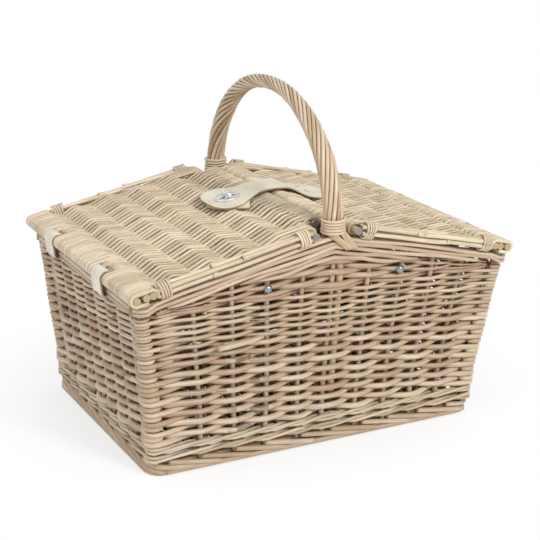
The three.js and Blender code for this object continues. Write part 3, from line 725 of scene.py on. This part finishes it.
arch = []
twist = 0.0
for step in range(arch_steps + 1):
    angle = pi * step / arch_steps
    lift = sin(angle)
    lean = back_shift * max(0, -cos(angle)) ** 1.5
    centre = Vector((lean, -spread * cos(angle), spring + rise * lift))
    ahead = Vector((0, spread * lift, rise * cos(angle))).normalized()
    if arch:
        twist += (centre - arch[-1][0]).length * strand_twist(lift)
    arch.append((centre, ahead, twist, foot_thick + (top_thick - foot_thick) * lift ** 5))
handle = new_piece()
handle_rng = random.Random(31)
core = [centre for centre, ahead, twist, thick in arch]
add_rod(handle, handle_rng, core, [part[3] * 0.66 for part in arch], sides=12, up=x_axis)
# Every face of the core takes the third material, a near-black painted shade for the grooves between the
# strands.
for face in handle.faces:
    face.material_index = 2
for k in range(strand_count):
    points = []
    radii = []
    proud = handle_rng.uniform(-0.0003, 0.0003)
    for centre, ahead, twist, thick in arch:
        tilt = atan(strand_twist((centre.z - spring) / rise) * thick)
        strand = pi * thick / (strand_count / cos(tilt) + pi) * 0.94
        angle = twist + 2 * pi * k / strand_count
        out = x_axis * cos(angle) + ahead.cross(x_axis) * sin(angle)
        points.append(centre + out * (thick - strand + proud))
        radii.append(strand)
    add_rod(handle, handle_rng, points, radii, sides=8, up=x_axis)
for side in (-1, 1):
    points = []
    for step in range(13):
        z = bow_foot + (spring - bow_foot) * step / 12
        x = (bow_offset + stake_shift(side, 0)) * (1 - max(0, step - 9) / 6)
        points.append(Vector((x, side * (half_width(z) - wall_depth), z)))
    add_rod(handle, handle_rng, points, bow_radius, sides=10, up=y_axis, tone=0.8)
handle_willow = willow(
    "handle willow", (0.72, 0.56, 0.39), (0.46, 0.30, 0.18), (0.45, 0.26, 0.15), bump=0.15
)
# The core's near-black colour is painted shade: it shows only in the grooves between the strands.
groove_shade_core = willow("handle core painted groove shade", (0.20, 0.11, 0.07), (0.13, 0.07, 0.045), (0.16, 0.07, 0.04))
handle_looks = [handle_willow, sawn_willow, groove_shade_core]
finish_piece(handle, "bound_handle", handle_looks, "basket", ["handle_bow"])


# Whippings: fine willow rod wound five times round each foot of the bow. Its ends are laid in two
# bands of three across the rim's rods and tucked in below them.

whip_rod = 0.0016
whip_turns = 5
whip_level = 0.2480
whip_drop = 0.0215
band_start = -0.0100
band_pitch = 0.0031
band_gap = 0.0046
whipping = new_piece()
whip_rng = random.Random(41)
for side in (-1, 1):
    shift = back_shift if side > 0 else 0.0
    points = []
    for step in range(whip_turns * 14 + 1):
        angle = 2 * pi * step / 14
        radius = foot_thick + whip_rod * 0.8 + 0.0004 * sin(step * 0.13)
        y = side * spread + radius * sin(angle)
        z = whip_level + 2 * whip_rod * step / 14 * 1.02
        points.append(Vector((radius * cos(angle) + shift, y, z)))
    add_rod(whipping, whip_rng, points, whip_rod, sides=7)
    for k in range(6):
        start_x = band_start + k * band_pitch + (band_gap if k > 2 else 0)
        start_y = spread + sqrt(max(foot_thick ** 2 - start_x ** 2, 0)) + whip_rod * 0.6
        run = 0.0255 if k < 3 else 0.0170
        proud = rim_outer + whip_rod * 0.7
        points = []
        for step in range(15):
            t = step / 14
            tuck = 0.007 * max(0, (t - 0.85) / 0.15) ** 2
            y = start_y + (proud - start_y) * min(t / 0.25, 1) - tuck
            points.append(Vector((start_x + shift + run * t, side * y, spring - whip_drop * t)))
        add_rod(whipping, whip_rng, points, whip_rod, sides=7)
whip_nodes = ["front_whipping", "back_whipping"]
whip_looks = [handle_willow, sawn_willow]
finish_piece(whipping, "handle_whippings", whip_looks, "basket", whip_nodes)


# Lid sticks: peeled willow sticks that stiffen each lid. From the hinge to the ridge they are the
# hinge stick, two end sticks, four ribs, a rail stick and two ridge sticks. Their sawn ends show.


def joint_place(name):
    return [joint["pos_m"] for joint in frame["joints"] if joint["name"] == name][0]


hinge_x = joint_place("right_lid_hinge")[0]
hinge_z = joint_place("right_lid_hinge")[2]
slope = (rim_high.z - end_high.z) / rim_high.x
slant = atan(slope)
stick_radius = 0.0040
lid_reach = 0.1572
weave_reach = 0.1462
ridge_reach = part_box("right_lid_ridge_sticks")[1].y
end_sticks = (0.0104, 0.0179)
ribs = (0.048, 0.092, 0.130, 0.175)
rail_stick = 0.208
ridge_sticks = (0.219, 0.2265)
lid_rngs = {side: random.Random(50 + side) for side in (-1, 1)}


def lid_point(side, along, y, height):
    """A point on the left lid (side -1) or the right lid (side 1), measured up its slope."""
    ahead = Vector((-side * cos(slant), 0, sin(slant)))
    out = Vector((side * sin(slant), 0, cos(slant)))
    return Vector((side * hinge_x, y, hinge_z)) + ahead * along + out * height


def finish_lid(piece, side, kind, materials, nodes):
    lid = "left_lid" if side < 0 else "right_lid"
    finish_piece(piece, f"{lid}_{kind}", materials, lid, [f"{lid}_{node}" for node in nodes])


stick_willow = willow("lid stick willow", (0.46, 0.33, 0.21), (0.34, 0.23, 0.14), (0.32, 0.18, 0.11))
sawn_stick = sawn_end("sawn stick", (0.60, 0.46, 0.28), (0.30, 0.20, 0.11))
sawn_dark = sawn_end("weathered stick end", (0.33, 0.29, 0.25), (0.16, 0.13, 0.11))
stick_looks = [stick_willow, sawn_stick, sawn_dark]
stick_nodes = ["hinge_stick", "end_sticks", "rail_stick", "ridge_sticks"]
stick_nodes += [f"rib_{k + 1}" for k in range(len(ribs))]
for side, rng in lid_rngs.items():
    sticks = new_piece()
    reaches = [(place, lid_reach) for place in (0.0, *end_sticks)]
    reaches += [(place, weave_reach) for place in ribs]
    reaches += [(rail_stick, lid_reach), *[(place, ridge_reach) for place in ridge_sticks]]
    for place, reach in reaches:
        points = []
        for step in range(13):
            bow = 0.0003 * sin(step * 0.5 + place * 90) * (place > 0)
            points.append(lid_point(side, place + bow, reach * (step / 6 - 1), 0))
        add_rod(sticks, rng, points, stick_radius, sides=14, ends=2 if place > ribs[-1] else 1)
    finish_lid(sticks, side, "sticks", stick_looks, stick_nodes)


# Lid sheets: thin willow rods woven over the sticks. At the ridge each row wraps the last stick that
# it meets. At the hinge every other row wraps a stick and short rods do so for the rows between,
# and the weave leaves room for the leather loops.

lid_rod = 0.00195
lid_pitch = 0.0041
bend_radius = stick_radius + lid_rod
loop_places = (-0.064, 0.078)
loop_room = 0.0150
edge_pitch = 0.0037
coil_rod = 0.0014
coil_radius = 0.0054
coil_pitch = 0.0028


def first_stick(y):
    """Rows wrap the hinge stick, but beside a leather loop they start from an end stick."""
    beside_loop = min(abs(y - place) for place in loop_places) < loop_room
    return end_sticks[1] if beside_loop else 0.0


def wrap_start(first):
    """The rod comes from under the sheet, round the first stick and up on to the top."""
    line = [(first + 0.012, -bend_radius - 0.0002), (first + 0.004, -bend_radius - 0.0002)]
    for angle in (-75, -45, -10, 25, 55, 80):
        turn = radians(angle)
        line.append((first - bend_radius * cos(turn), bend_radius * sin(turn)))
    return line


def lid_row(y, odd):
    """Section line of one weaving rod, as (along, height) from the hinge to the ridge."""
    past_ridge = abs(y) > ridge_reach - 0.001
    if odd:
        line = [(-0.002, -bend_radius - 0.0006), (0.006, -bend_radius)]
    else:
        line = wrap_start(first_stick(y))
    contacts = [(end_sticks[1], -1 if odd else 1)]
    for k, rib in enumerate(ribs):
        contacts.append((rib, -1 if (k + odd) % 2 == 0 else 1))
    if past_ridge:
        contacts.append((rail_stick, 1))
    else:
        contacts += [(rail_stick, 1 if odd else -1), (ridge_sticks[0], 1)]
    for k, (place, sign) in enumerate(contacts):
        leans = [0, 0, 0]
        for near, way in ((k - 1, -1), (k + 1, 1)):
            if 0 <= near < len(contacts) and contacts[near][1] != sign:
                gap = abs(contacts[near][0] - place)
                leans[way + 1] = way * asin(min(2 * bend_radius / gap, 0.95))
        for angle in sorted(set(leans)):
            line.append((place + bend_radius * sin(angle), sign * bend_radius * cos(angle)))
        if k + 1 < len(contacts):
            after, other_sign = contacts[k + 1]
            line.append(((place + after) / 2, bend_radius * (sign + other_sign) / 2))
    final = rail_stick if past_ridge else ridge_sticks[1]
    for angle in (85, 55, 25, -5, -35, -65, -95):
        turn = radians(angle)
        line.append((final + bend_radius * cos(turn), bend_radius * sin(turn)))
    line.append((final - 0.007, -bend_radius - 0.0004))
    return line


def short_wrap(first, reach):
    """Section line of a short rod that only wraps the sticks at the hinge end."""
    line = wrap_start(first)
    line += [((first + end_sticks[1]) / 2, bend_radius), (end_sticks[1] + 0.001, bend_radius)]
    line += [(end_sticks[1] + 0.0045, bend_radius - 0.0022), (reach, -0.0045)]
    return line


lid_willow = willow("lid willow", (0.76, 0.63, 0.44), (0.54, 0.41, 0.26), (0.52, 0.34, 0.23))
for side, rng in lid_rngs.items():
    sheet = new_piece()
    rows = round(2 * weave_reach / lid_pitch)
    for j in range(rows):
        y = -weave_reach + (j + 0.5) * 2 * weave_reach / rows
        sway = rng.uniform(-0.0004, 0.0004)
        phase = rng.uniform(0, 6.28)
        swell = rng.uniform(0.86, 1.06)
        points = []
        radii = []
        for along, height in lid_row(y, j % 2):
            shift = sway + 0.0004 * sin(along * 34 + phase)
            points.append(lid_point(side, along, y + shift, height + rng.uniform(-0.0002, 0.0002)))
            radii.append(lid_rod * swell * (1 + 0.05 * sin(along * 55 + phase)))
        add_rod(sheet, rng, points, radii, sides=7, up=y_axis)
        if j % 2:
            points = []
            for along, height in short_wrap(first_stick(y), 0.029):
                points.append(lid_point(side, along, y + sway, height + rng.uniform(-0.0002, 0.0002)))
            add_rod(sheet, rng, points, lid_rod * rng.uniform(0.9, 1.04), sides=7, up=y_axis)
    for edge in (-1, 1):
        for k in range(3):
            y = edge * (weave_reach + 0.0022 + k * edge_pitch)
            points = []
            for along, height in short_wrap(0.0, 0.0265):
                points.append(lid_point(side, along, y, height + rng.uniform(-0.0003, 0.0003)))
            add_rod(sheet, rng, points, lid_rod * rng.uniform(0.95, 1.08), sides=7, up=y_axis)
    for place in loop_places:
        points = []
        for step in range(3 * 12 + 1):
            angle = 2 * pi * step / 12
            along = end_sticks[0] + coil_radius * cos(angle)
            y = place + 0.0063 + coil_pitch * step / 12
            points.append(lid_point(side, along, y, coil_radius * sin(angle)))
        add_rod(sheet, rng, points, coil_rod, sides=6, up=Vector((0, 1, 0.1)))
    finish_lid(sheet, side, "rods", [lid_willow, sawn_willow], ["weave"])


# Lid rails: seven thick rods laid side by side over the stick ends along each side of a lid. Some
# are cut short, and a short one starts a little raised where it lies over its neighbour.

rail_rod = 0.0027
rail_rods = (
    (0.1502, 0.0050, 0.023, 0.124), (0.1503, 0.0052, 0.086, 0.204), (0.1556, 0.0034, 0.022, 0.131),
    (0.1553, 0.0046, 0.120, 0.205), (0.1502, -0.0008, 0.030, 0.203), (0.1554, -0.0020, 0.022, 0.090),
    (0.1552, -0.0024, 0.084, 0.203),
)
for side, rng in lid_rngs.items():
    rails = new_piece()
    for edge in (-1, 1):
        for n, (y, height, start, stop) in enumerate(rail_rods):
            points = []
            radii = []
            for step in range(15):
                t = step / 14
                along = start + (stop - start) * t
                sag = 0.0005 * sin(along * 45 + n * 2.1)
                lift = 0.0020 * max(0, 1 - t / 0.2) ** 2 * (start > 0.04)
                lift += 0.0016 * max(0, (t - 0.85) / 0.15) ** 2 * (stop < 0.18)
                out = edge * (y + sag + lift * 0.9)
                points.append(lid_point(side, along, out, height + sag + lift * 0.8))
                radii.append(rail_rod * (1.04 - 0.2 * t))
            add_rod(rails, rng, points, radii, sides=8, ends=2)
    looks = [lid_willow, sawn_willow, sawn_dark]
    finish_lid(rails, side, "rails", looks, ["front_rail", "back_rail"])


# Lid bindings: four turns of thin willow skein wound round each rail near both its ends. They
# hold the rail's rods together and to the ends of the sticks.

binding_rod = 0.00135
binding_places = (0.0318, 0.1938)
binding_pitch = 0.0033
binding_centre = (0.1526, 0.0014)
binding_reach = (0.0072, 0.0088)
binding_turns = 4
binding_nodes = [f"{end}_{row}_binding" for end in ("front", "back") for row in ("outer", "inner")]
for side, rng in lid_rngs.items():
    bindings = new_piece()
    for edge in (-1, 1):
        for place in binding_places:
            points = []
            for step in range(binding_turns * 14 + 1):
                angle = 2 * pi * step / 14 + 1.2
                along = place - 0.0058 + binding_pitch * step / 14 + 0.0004 * sin(step * 0.37)
                y = edge * binding_centre[0] + binding_reach[0] * cos(angle)
                height = binding_centre[1] + binding_reach[1] * sin(angle)
                points.append(lid_point(side, along, y, height))
            add_rod(bindings, rng, points, binding_rod, sides=6, tone=rng.uniform(0, 0.6))
    finish_lid(bindings, side, "bindings", [lid_willow, sawn_willow], binding_nodes)


# Hinge loops: bands of cream leather, closed round the hinge stick of a lid and the outer rod of
# the rim, two at each end. Cut from hide with square edges that show darker than the face.

loop_width = 0.0250
loop_leather = 0.0023
loop_room_round = 0.0018
loop_drop = 0.0150
loop_leans = {-1: 0.0015, 1: -0.0040}
stand = Matrix.Rotation(pi / 2, 4, "X")


def leather(name, face, edge, grain_size):
    """Cream hide: fine pores, faint creases and slight handling marks."""
    material, tree, shader = new_material(name)
    place = add_node(tree, "TexCoord").outputs["Object"]
    stain = noise(tree, place, 45, 4)
    pores = add_node(tree, "TexVoronoi", {"Vector": place, "Scale": grain_size}).outputs["Distance"]
    feed(tree, shader, {
        "Base Color": colour_ramp(tree, stain, (0.32, edge), (0.62, face)),
        "Roughness": ranged(tree, stain, 0.42, 0.62),
        "Normal": relief(tree, pores, 0.25, 0.0002),
    })
    return material


def arc(centre, radius, start, stop, steps):
    """Points on an arc, angles in degrees."""
    line = []
    for step in range(steps + 1):
        angle = radians(start + (stop - start) * step / steps)
        line.append((centre[0] + radius * cos(angle), centre[1] + radius * sin(angle)))
    return line


def cut_sheet(outlines, thickness, rounding):
    """A flat sheet in the xy plane, cut to the first outline and holed by the others."""
    flat = bpy.data.curves.new("outline", "CURVE")
    flat.dimensions = "2D"
    flat.fill_mode = "BOTH"
    flat.extrude = thickness / 2 - rounding
    flat.bevel_depth = rounding
    flat.bevel_resolution = 2
    flat.offset = -rounding
    for outline in outlines:
        line = flat.splines.new("POLY")
        line.points.add(len(outline) - 1)
        line.use_cyclic_u = True
        for point, (x, y) in zip(line.points, outline):
            point.co = (x, y, 0, 1)
    holder = bpy.data.objects.new("outline", flat)
    scene.collection.objects.link(holder)
    shaped = bpy.data.meshes.new_from_object(holder)
    sheet = bmesh.new()
    sheet.from_mesh(shaped)
    bmesh.ops.remove_doubles(sheet, verts=sheet.verts, dist=0.000002)
    bmesh.ops.recalc_face_normals(sheet, faces=sheet.faces)
    bpy.data.objects.remove(holder)
    bpy.data.curves.remove(flat)
    bpy.data.meshes.remove(shaped)
    return sheet


def place_piece(piece, matrix):
    bmesh.ops.transform(piece, matrix=matrix, verts=piece.verts)


hinge_leather = leather("hinge leather", (0.73, 0.65, 0.52), (0.60, 0.51, 0.38), 900)
leather_edge = leather("cut leather edge", (0.46, 0.33, 0.21), (0.33, 0.22, 0.13), 500)
for side, word in ((-1, "left"), (1, "right")):
    for y, end in zip(loop_places, ("front", "back")):
        eye = (side * hinge_x, hinge_z)
        foot = (side * (hinge_x - loop_leans[side]), hinge_z - loop_drop)
        lean = degrees(atan2(eye[0] - foot[0], eye[1] - foot[1]))
        outlines = []
        for reach in (stick_radius + loop_leather + loop_room_round, stick_radius + loop_room_round):
            line = arc(eye, reach, -lean, 180 - lean, 20)
            outlines.append(line + arc(foot, reach * 0.92, 180 - lean, 360 - lean, 20))
        band = cut_sheet(outlines, loop_width, 0.0004)
        place_piece(band, Matrix.Translation((0, y, 0)) @ stand)
        for face in band.faces:
            face.material_index = 1 if abs(face.normal.y) > 0.8 else 0
            face.smooth = abs(face.normal.y) <= 0.8
        looks = [hinge_leather, leather_edge]
        nodes = [f"{word}_{end}_hinge_loop"]
        finish_piece(band, f"{word}_{end}_leather_loop", looks, "basket", nodes)


# Studs: two domed nickel nails in the front wall, below the slopes of the rim. Their shanks go
# through the weave and are clenched over washers inside.

stud_places = (-0.0795, 0.0860)
stud_level = 0.1975


def nickel(name, tone, rough):
    """Plated steel: bright, with faint cloudy wear in its colour and roughness."""
    material, tree, shader = new_material(name)
    cloud = noise(tree, add_node(tree, "TexCoord").outputs["Object"], 260, 5)
    worn = (tone * 0.72, tone * 0.74, tone * 0.75)
    feed(tree, shader, {
        "Metallic": 1.0,
        "Base Color": colour_ramp(tree, cloud, (0.3, worn), (0.6, (tone, tone, tone * 0.98))),
        "Roughness": ranged(tree, cloud, rough * 0.7, rough * 1.5),
    })
    return material


def turned(profile):
    """Spins a profile of (radius, height) points round the z axis. Its ends lie on the axis."""
    part = bmesh.new()
    verts = [part.verts.new((radius, 0, height)) for radius, height in profile]
    edges = [part.edges.new(pair) for pair in zip(verts, verts[1:])]
    bmesh.ops.spin(
        part, geom=verts + edges, axis=(0, 0, 1), cent=(0, 0, 0), angle=2 * pi, steps=24,
        use_merge=True, use_normal_flip=False,
    )
    bmesh.ops.remove_doubles(part, verts=part.verts, dist=0.000003)
    bmesh.ops.recalc_face_normals(part, faces=part.faces)
    for face in part.faces:
        face.smooth = True
    return part


nickel_dull = nickel("dull nickel", 0.36, 0.24)
dome = [(0, 0.0036), (0.0013, 0.0035), (0.0026, 0.0030), (0.0037, 0.0021), (0.0044, 0.0010)]
dome += [(0.0046, 0.0004), (0.0044, 0), (0.0015, 0), (0.0015, -0.0159)]
washer = [(0.0045, -0.0160), (0.0047, -0.0165), (0.0044, -0.0171), (0.0019, -0.0172), (0.0016, -0.0178)]
for x, word in zip(stud_places, ("left", "right")):
    stud = turned(dome + washer + [(0, -0.0179)])
    seat = -half_width(stud_level) - 0.0003
    place_piece(stud, Matrix.Translation((x, seat, stud_level)) @ stand)
    finish_piece(stud, f"front_{word}_nail", [nickel_dull], "basket", [f"front_{word}_stud"])


# Strap: cream leather with a broad oval end on each lid. It is riveted to the right lid, arches
# over the ridge with a slim waist and drops by a slot over the turn button on the left lid.

strap_leather = 0.0022
lock_x = -0.051
lock_end = (-0.0550, 0.0030)
lock_reach = (0.0215, 0.0360)
rivet_x = 0.051
rivet_y = 0.010
rivet_spread = 0.022
rivet_end = (0.0600, 0.0070)
rivet_reach = (0.0220, 0.0370)
rivet_skew = 0.30
strap_waist = 0.0380
slot_half = 0.00325
slot_run = 0.00775
post_hole = 0.0023
weave_half = stick_radius + 0.0026
ease_gap = 0.0003


def lid_top(x):
    return hinge_z + (hinge_x - abs(x)) * slope + weave_half / cos(slant)


def smooth_share(value):
    share = max(0, value)
    return share * share * (3 - 2 * share)


def strap_level(x):
    """Height of the strap's lower face: flat on both lids, with a low arch over the ridge."""
    left_from, left_to = -0.036, -0.012
    right_from, right_to = 0.016, 0.040
    crown = lid_top(0) + 0.0020 - 0.05 * max(0, abs(x - 0.003) - 0.004)
    if x < left_to:
        share = smooth_share((x - left_from) / (left_to - left_from))
        return (lid_top(x) + 2 * ease_gap + strap_leather) * (1 - share) + crown * share
    if x > right_from:
        share = smooth_share((right_to - x) / (right_to - right_from))
        return (lid_top(x) + ease_gap) * (1 - share) + crown * share
    return crown


def slot_outline(x, grow):
    line = arc((x + slot_run, 0), slot_half + grow, -90, 90, 12)
    return line + arc((x - slot_run, 0), slot_half + grow, 90, 270, 12)


def bezier(a, b, c, d, steps):
    line = []
    for step in range(1, steps):
        t = step / steps
        weights = ((1 - t) ** 3, 3 * t * (1 - t) ** 2, 3 * t * t * (1 - t), t ** 3)
        line.append([sum(w * p[axis] for w, p in zip(weights, (a, b, c, d))) for axis in (0, 1)])
    return line


def oval_end(centre, reach, skew, start, stop, steps):
    """Part of one of the strap's broad ends, a slightly squared oval. Angles in degrees."""
    squaring = 0.84
    line = []
    for x, y in arc((0, 0), 1, start, stop, steps):
        wide = reach[0] * copysign(abs(x) ** squaring, x)
        high = reach[1] * copysign(abs(y) ** squaring, y)
        line.append((centre[0] + wide + skew * high, centre[1] + high))
    return line


def strap_outline():
    """Broad end on the right lid, slim waist, broad end on the left lid, and back."""
    far = oval_end(rivet_end, rivet_reach, rivet_skew, -125, 120, 40)
    near = oval_end(lock_end, lock_reach, 0, 62, 298, 44)
    half = strap_waist / 2
    line = far + bezier(far[-1], (0.032, 0.016 + half), (0.016, 0.006 + half), (0, 0.004 + half), 12)
    line += bezier((0, 0.004 + half), (-0.016, 0.002 + half), (-0.030, half), near[0], 14) + near
    line += bezier(near[-1], (-0.030, -half), (-0.016, 0.002 - half), (0, 0.004 - half), 14)
    line += bezier((0, 0.004 - half), (0.016, 0.006 - half), (0.026, 0.002 - half), far[0], 12)
    return line


def mark_edges(sheet):
    """The cut edges of a leather sheet take its second material."""
    sheet.normal_update()
    for face in sheet.faces:
        face.material_index = 1 if abs(face.normal.z) < 0.6 else 0
        face.smooth = True


strap_hide = leather("strap leather", (0.73, 0.65, 0.50), (0.64, 0.55, 0.40), 1100)
strap_edge = leather("strap cut edge", (0.50, 0.37, 0.24), (0.36, 0.25, 0.15), 600)
holes = [arc((rivet_x, rivet_y + sign * rivet_spread / 2), 0.0015, 0, 345, 23) for sign in (-1, 1)]
strap = cut_sheet([strap_outline(), slot_outline(lock_x, 0.0003), *holes], strap_leather, 0.0005)
for k in range(67):
    geom = strap.verts[:] + strap.edges[:] + strap.faces[:]
    cut = (-0.076 + 0.0025 * k, 0, 0)
    bmesh.ops.bisect_plane(strap, geom=geom, dist=0.000002, plane_co=cut, plane_no=(1, 0, 0))
mark_edges(strap)
for vert in strap.verts:
    x = vert.co.x
    off = vert.co.z
    tilt = atan((strap_level(x + 0.0005) - strap_level(x - 0.0005)) / 0.001)
    middle = strap_level(x) + strap_leather / 2 / cos(tilt)
    curl = 0.0010 * max(0, -(x - lock_x + 0.010) / 0.019) ** 2
    vert.co.x = x - off * sin(tilt)
    vert.co.z = middle + off * cos(tilt) + curl
strap_looks = [strap_hide, strap_edge]
strap_piece = finish_piece(strap, "clasp_leather", strap_looks, None, ["clasp_strap"])
strap_bend = joint_place("strap_lift")[0]
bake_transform(strap_piece, "right_lid", "strap", (strap_bend + 0.004, 0, 0), (strap_bend - 0.016, 0, 0))


# Patch: a drop-shaped piece of the same leather under the strap's end. It is laid on the left
# lid's weave and held by the button's post, which goes through it.

patch_reach = 0.0250
patch_point = 0.0440
patch_turn = 0.14


def lid_frame(x, y, lift):
    """Matrix from flat parts to the lid's slope at x, lifted square to the weave."""
    tilt = -slant if x < 0 else slant
    place = Vector((x + lift * sin(tilt), y, lid_top(x) + lift * cos(tilt)))
    return Matrix.Translation(place) @ Matrix.Rotation(tilt, 4, "Y")


meet = degrees(acos(patch_reach / patch_point))
drop = arc((0, 0), patch_reach, meet - 90, 270 - meet, 44)
drop += [(-0.0012, -patch_point + 0.0020), (0, -patch_point + 0.0012), (0.0012, -patch_point + 0.0020)]
turned_drop = []
for x, y in drop:
    turned_x = x * cos(patch_turn) - y * sin(patch_turn)
    turned_drop.append((turned_x, x * sin(patch_turn) + y * cos(patch_turn)))
patch = cut_sheet([turned_drop, arc((0, 0), post_hole, 0, 345, 23)], strap_leather, 0.0005)
mark_edges(patch)
place_piece(patch, lid_frame(lock_x, 0, ease_gap + strap_leather / 2))
finish_piece(patch, "catch_leather", strap_looks, "left_lid", ["catch_patch"])


# Eyelet: an oval nickel plate round the strap's slot, pressed from sheet. Bent wire ridges either
# side of the slot grip the leather.

eyelet_lift = 3 * ease_gap + 2 * strap_leather
eyelet_sheet = 0.0012
eyelet_wire = 0.00045
eyelet_half = (0.0145, 0.0135)
nickel_satin = nickel("satin nickel", 0.92, 0.42)
oval = []
for step in range(64):
    angle = 2 * pi * step / 64
    oval.append((eyelet_half[0] * cos(angle), eyelet_half[1] * sin(angle)))
plate = cut_sheet([oval, slot_outline(0, 0)], eyelet_sheet, 0.0004)
for face in plate.faces:
    face.smooth = True
wire_rng = random.Random(9)
for sign in (-1, 1):
    for reach, height in ((0.0096, 0.0), (0.0062, -0.0001)):
        points = []
        for step in range(13):
            angle = radians(-80 + 160 * step / 12)
            x = sign * (reach - 0.0006 + 0.0012 * cos(angle))
            y = slot_half * 0.96 * sin(angle)
            points.append(Vector((x, y, height - 0.0008 * cos(angle))))
        add_rod(plate, wire_rng, points, eyelet_wire, sides=8, ends=0)
place_piece(plate, lid_frame(lock_x, 0, eyelet_lift + eyelet_sheet / 2))
finish_piece(plate, "nickel_eyelet", [nickel_satin], "strap", ["eyelet_plate"])


# Post: a turned nickel pin through the patch and the left lid, with a broad foot inside. The
# button turns on its top.

plate_top = eyelet_lift + eyelet_sheet
nickel_bright = nickel("bright nickel", 0.86, 0.20)
post = turned([
    (0, plate_top + 0.0006), (0.0016, plate_top + 0.0006), (0.0020, plate_top + 0.0003),
    (0.0020, -0.0131), (0.0050, -0.0135), (0.0055, -0.0140), (0.0053, -0.0148), (0, -0.0149),
])
place_piece(post, lid_frame(lock_x, 0, 0))
finish_piece(post, "button_post", [nickel_bright], "left_lid", ["catch_post"])


# Button: a nickel bar with a slim waist and rounded ends, riveted across the top of the post. It
# passes through the slot when it is turned in line with it.

button_ends = [(0, 0.00975), (0.0012, 0.0096), (0.0020, 0.0091), (0.0024, 0.0082), (0.0024, 0.0060)]
button_ends += [(0.0021, 0.0050), (0.0019, 0.0030)]
button = turned([(radius, -height) for radius, height in button_ends] + button_ends[::-1])
place_piece(button, lid_frame(lock_x, 0, plate_top + 0.0009 + 0.0025) @ stand)
finish_piece(button, "turning_button", [nickel_satin], "button", ["turn_button"])


# Rivets: two turned nickel rivets with domed heads that hold the strap to the right lid. Their
# shanks are clenched under the weave.

head = 2 * ease_gap + strap_leather
for sign, number in ((-1, 1), (1, 2)):
    rivet = turned([
        (0, head + 0.0017), (0.0012, head + 0.0016), (0.0023, head + 0.0012), (0.0031, head + 0.0006),
        (0.0034, head + 0.0002), (0.0031, head), (0.0012, head), (0.0012, -0.0135), (0.0031, -0.0136),
        (0.0034, -0.0139), (0.0031, -0.0145), (0.0016, -0.0146), (0, -0.0148),
    ])
    place_piece(rivet, lid_frame(rivet_x, rivet_y + sign * rivet_spread / 2, 0))
    nodes = [f"strap_rivet_{number}"]
    finish_piece(rivet, f"lid_rivet_{number}", [nickel_bright], "right_lid", nodes)


# Studio: a pale paper floor that keeps the hamper's shadow and fades to white, soft lamps from
# the front, above and the left, and the camera at the photograph's angle.

bpy.ops.mesh.primitive_plane_add(size=12, location=(0, 0, 0))
ground = bpy.context.object
ground.name = "studio_floor"
ground_paint, tree, paper = new_material("studio floor")
feed(tree, paper, {"Base Color": (0.93, 0.93, 0.93, 1), "Roughness": 0.9})
glow = add_node(tree, "Emission", {"Color": (1, 1, 1, 1), "Strength": 1.0})
where = add_node(tree, "NewGeometry").outputs["Position"]
distance = add_node(tree, "VectorMath", {0: where}, operation="LENGTH").outputs["Value"]
fade = ranged(tree, distance, 0.60, 1.0, 0.18, 0.42, interpolation_type="SMOOTHSTEP")
seen = add_node(tree, "LightPath").outputs["Is Camera Ray"]
amount = add_node(tree, "Math", {0: fade, 1: seen}, operation="MULTIPLY").outputs["Value"]
layers = {"Fac": amount, 1: paper.outputs["BSDF"], 2: glow.outputs["Emission"]}
faded = add_node(tree, "MixShader", layers).outputs["Shader"]
feed(tree, tree.nodes["Material Output"], {"Surface": faded})
ground.data.materials.append(ground_paint)

world = scene.world or bpy.data.worlds.new("studio")
scene.world = world
world.use_nodes = True
tree = world.node_tree
sky = tree.nodes["Background"]
feed(tree, sky, {"Color": (0.90, 0.95, 1, 1), "Strength": 0.84})
white = add_node(tree, "Background", {"Color": (1, 1, 1, 1)})
seen = add_node(tree, "LightPath").outputs["Is Camera Ray"]
layers = {"Fac": seen, 1: sky.outputs["Background"], 2: white.outputs["Background"]}
chosen = add_node(tree, "MixShader", layers).outputs["Shader"]
feed(tree, tree.nodes["World Output"], {"Surface": chosen})


def area_lamp(name, place, aim, size, power, tint):
    lamp = bpy.data.lights.new(name, "AREA")
    lamp.size = size
    lamp.energy = power
    lamp.color = tint
    holder = bpy.data.objects.new(name, lamp)
    holder.location = place
    holder.rotation_euler = (Vector(aim) - Vector(place)).to_track_quat("-Z", "Y").to_euler()
    scene.collection.objects.link(holder)


area_lamp("front lamp", (0.35, -1.8, 1.6), (0, 0, 0.12), 0.45, 25, (1, 1, 1))
area_lamp("top lamp", (-1.3, -0.2, 1.5), (0, 0, 0.2), 0.6, 4.5, (1, 1, 1))
area_lamp("left lamp", (-1.9, -0.5, 0.9), (0, 0, 0.1), 0.8, 2, (0.82, 0.91, 1))

yaw = radians(29.18)
pitch = radians(-18.19)
roll = radians(1.73)
level_ahead = Vector((sin(yaw), cos(yaw), 0))
forward = level_ahead * cos(pitch) + z_axis * sin(pitch)
level_right = Vector((cos(yaw), -sin(yaw), 0))
level_up = level_right.cross(forward)
view_right = level_right * cos(roll) + level_up * sin(roll)
view_up = level_up * cos(roll) - level_right * sin(roll)
camera_data = bpy.data.cameras.new("camera")
camera_data.lens = 89.1
camera_data.sensor_width = 36.0
camera_data.clip_start = 0.05
camera = bpy.data.objects.new("camera", camera_data)
turn = Matrix((view_right, view_up, -forward)).transposed().to_4x4()
camera.matrix_world = Matrix.Translation((-0.72172, -1.3041, 0.65222)) @ turn
scene.collection.objects.link(camera)
scene.camera = camera
scene.view_settings.view_transform = "Standard"
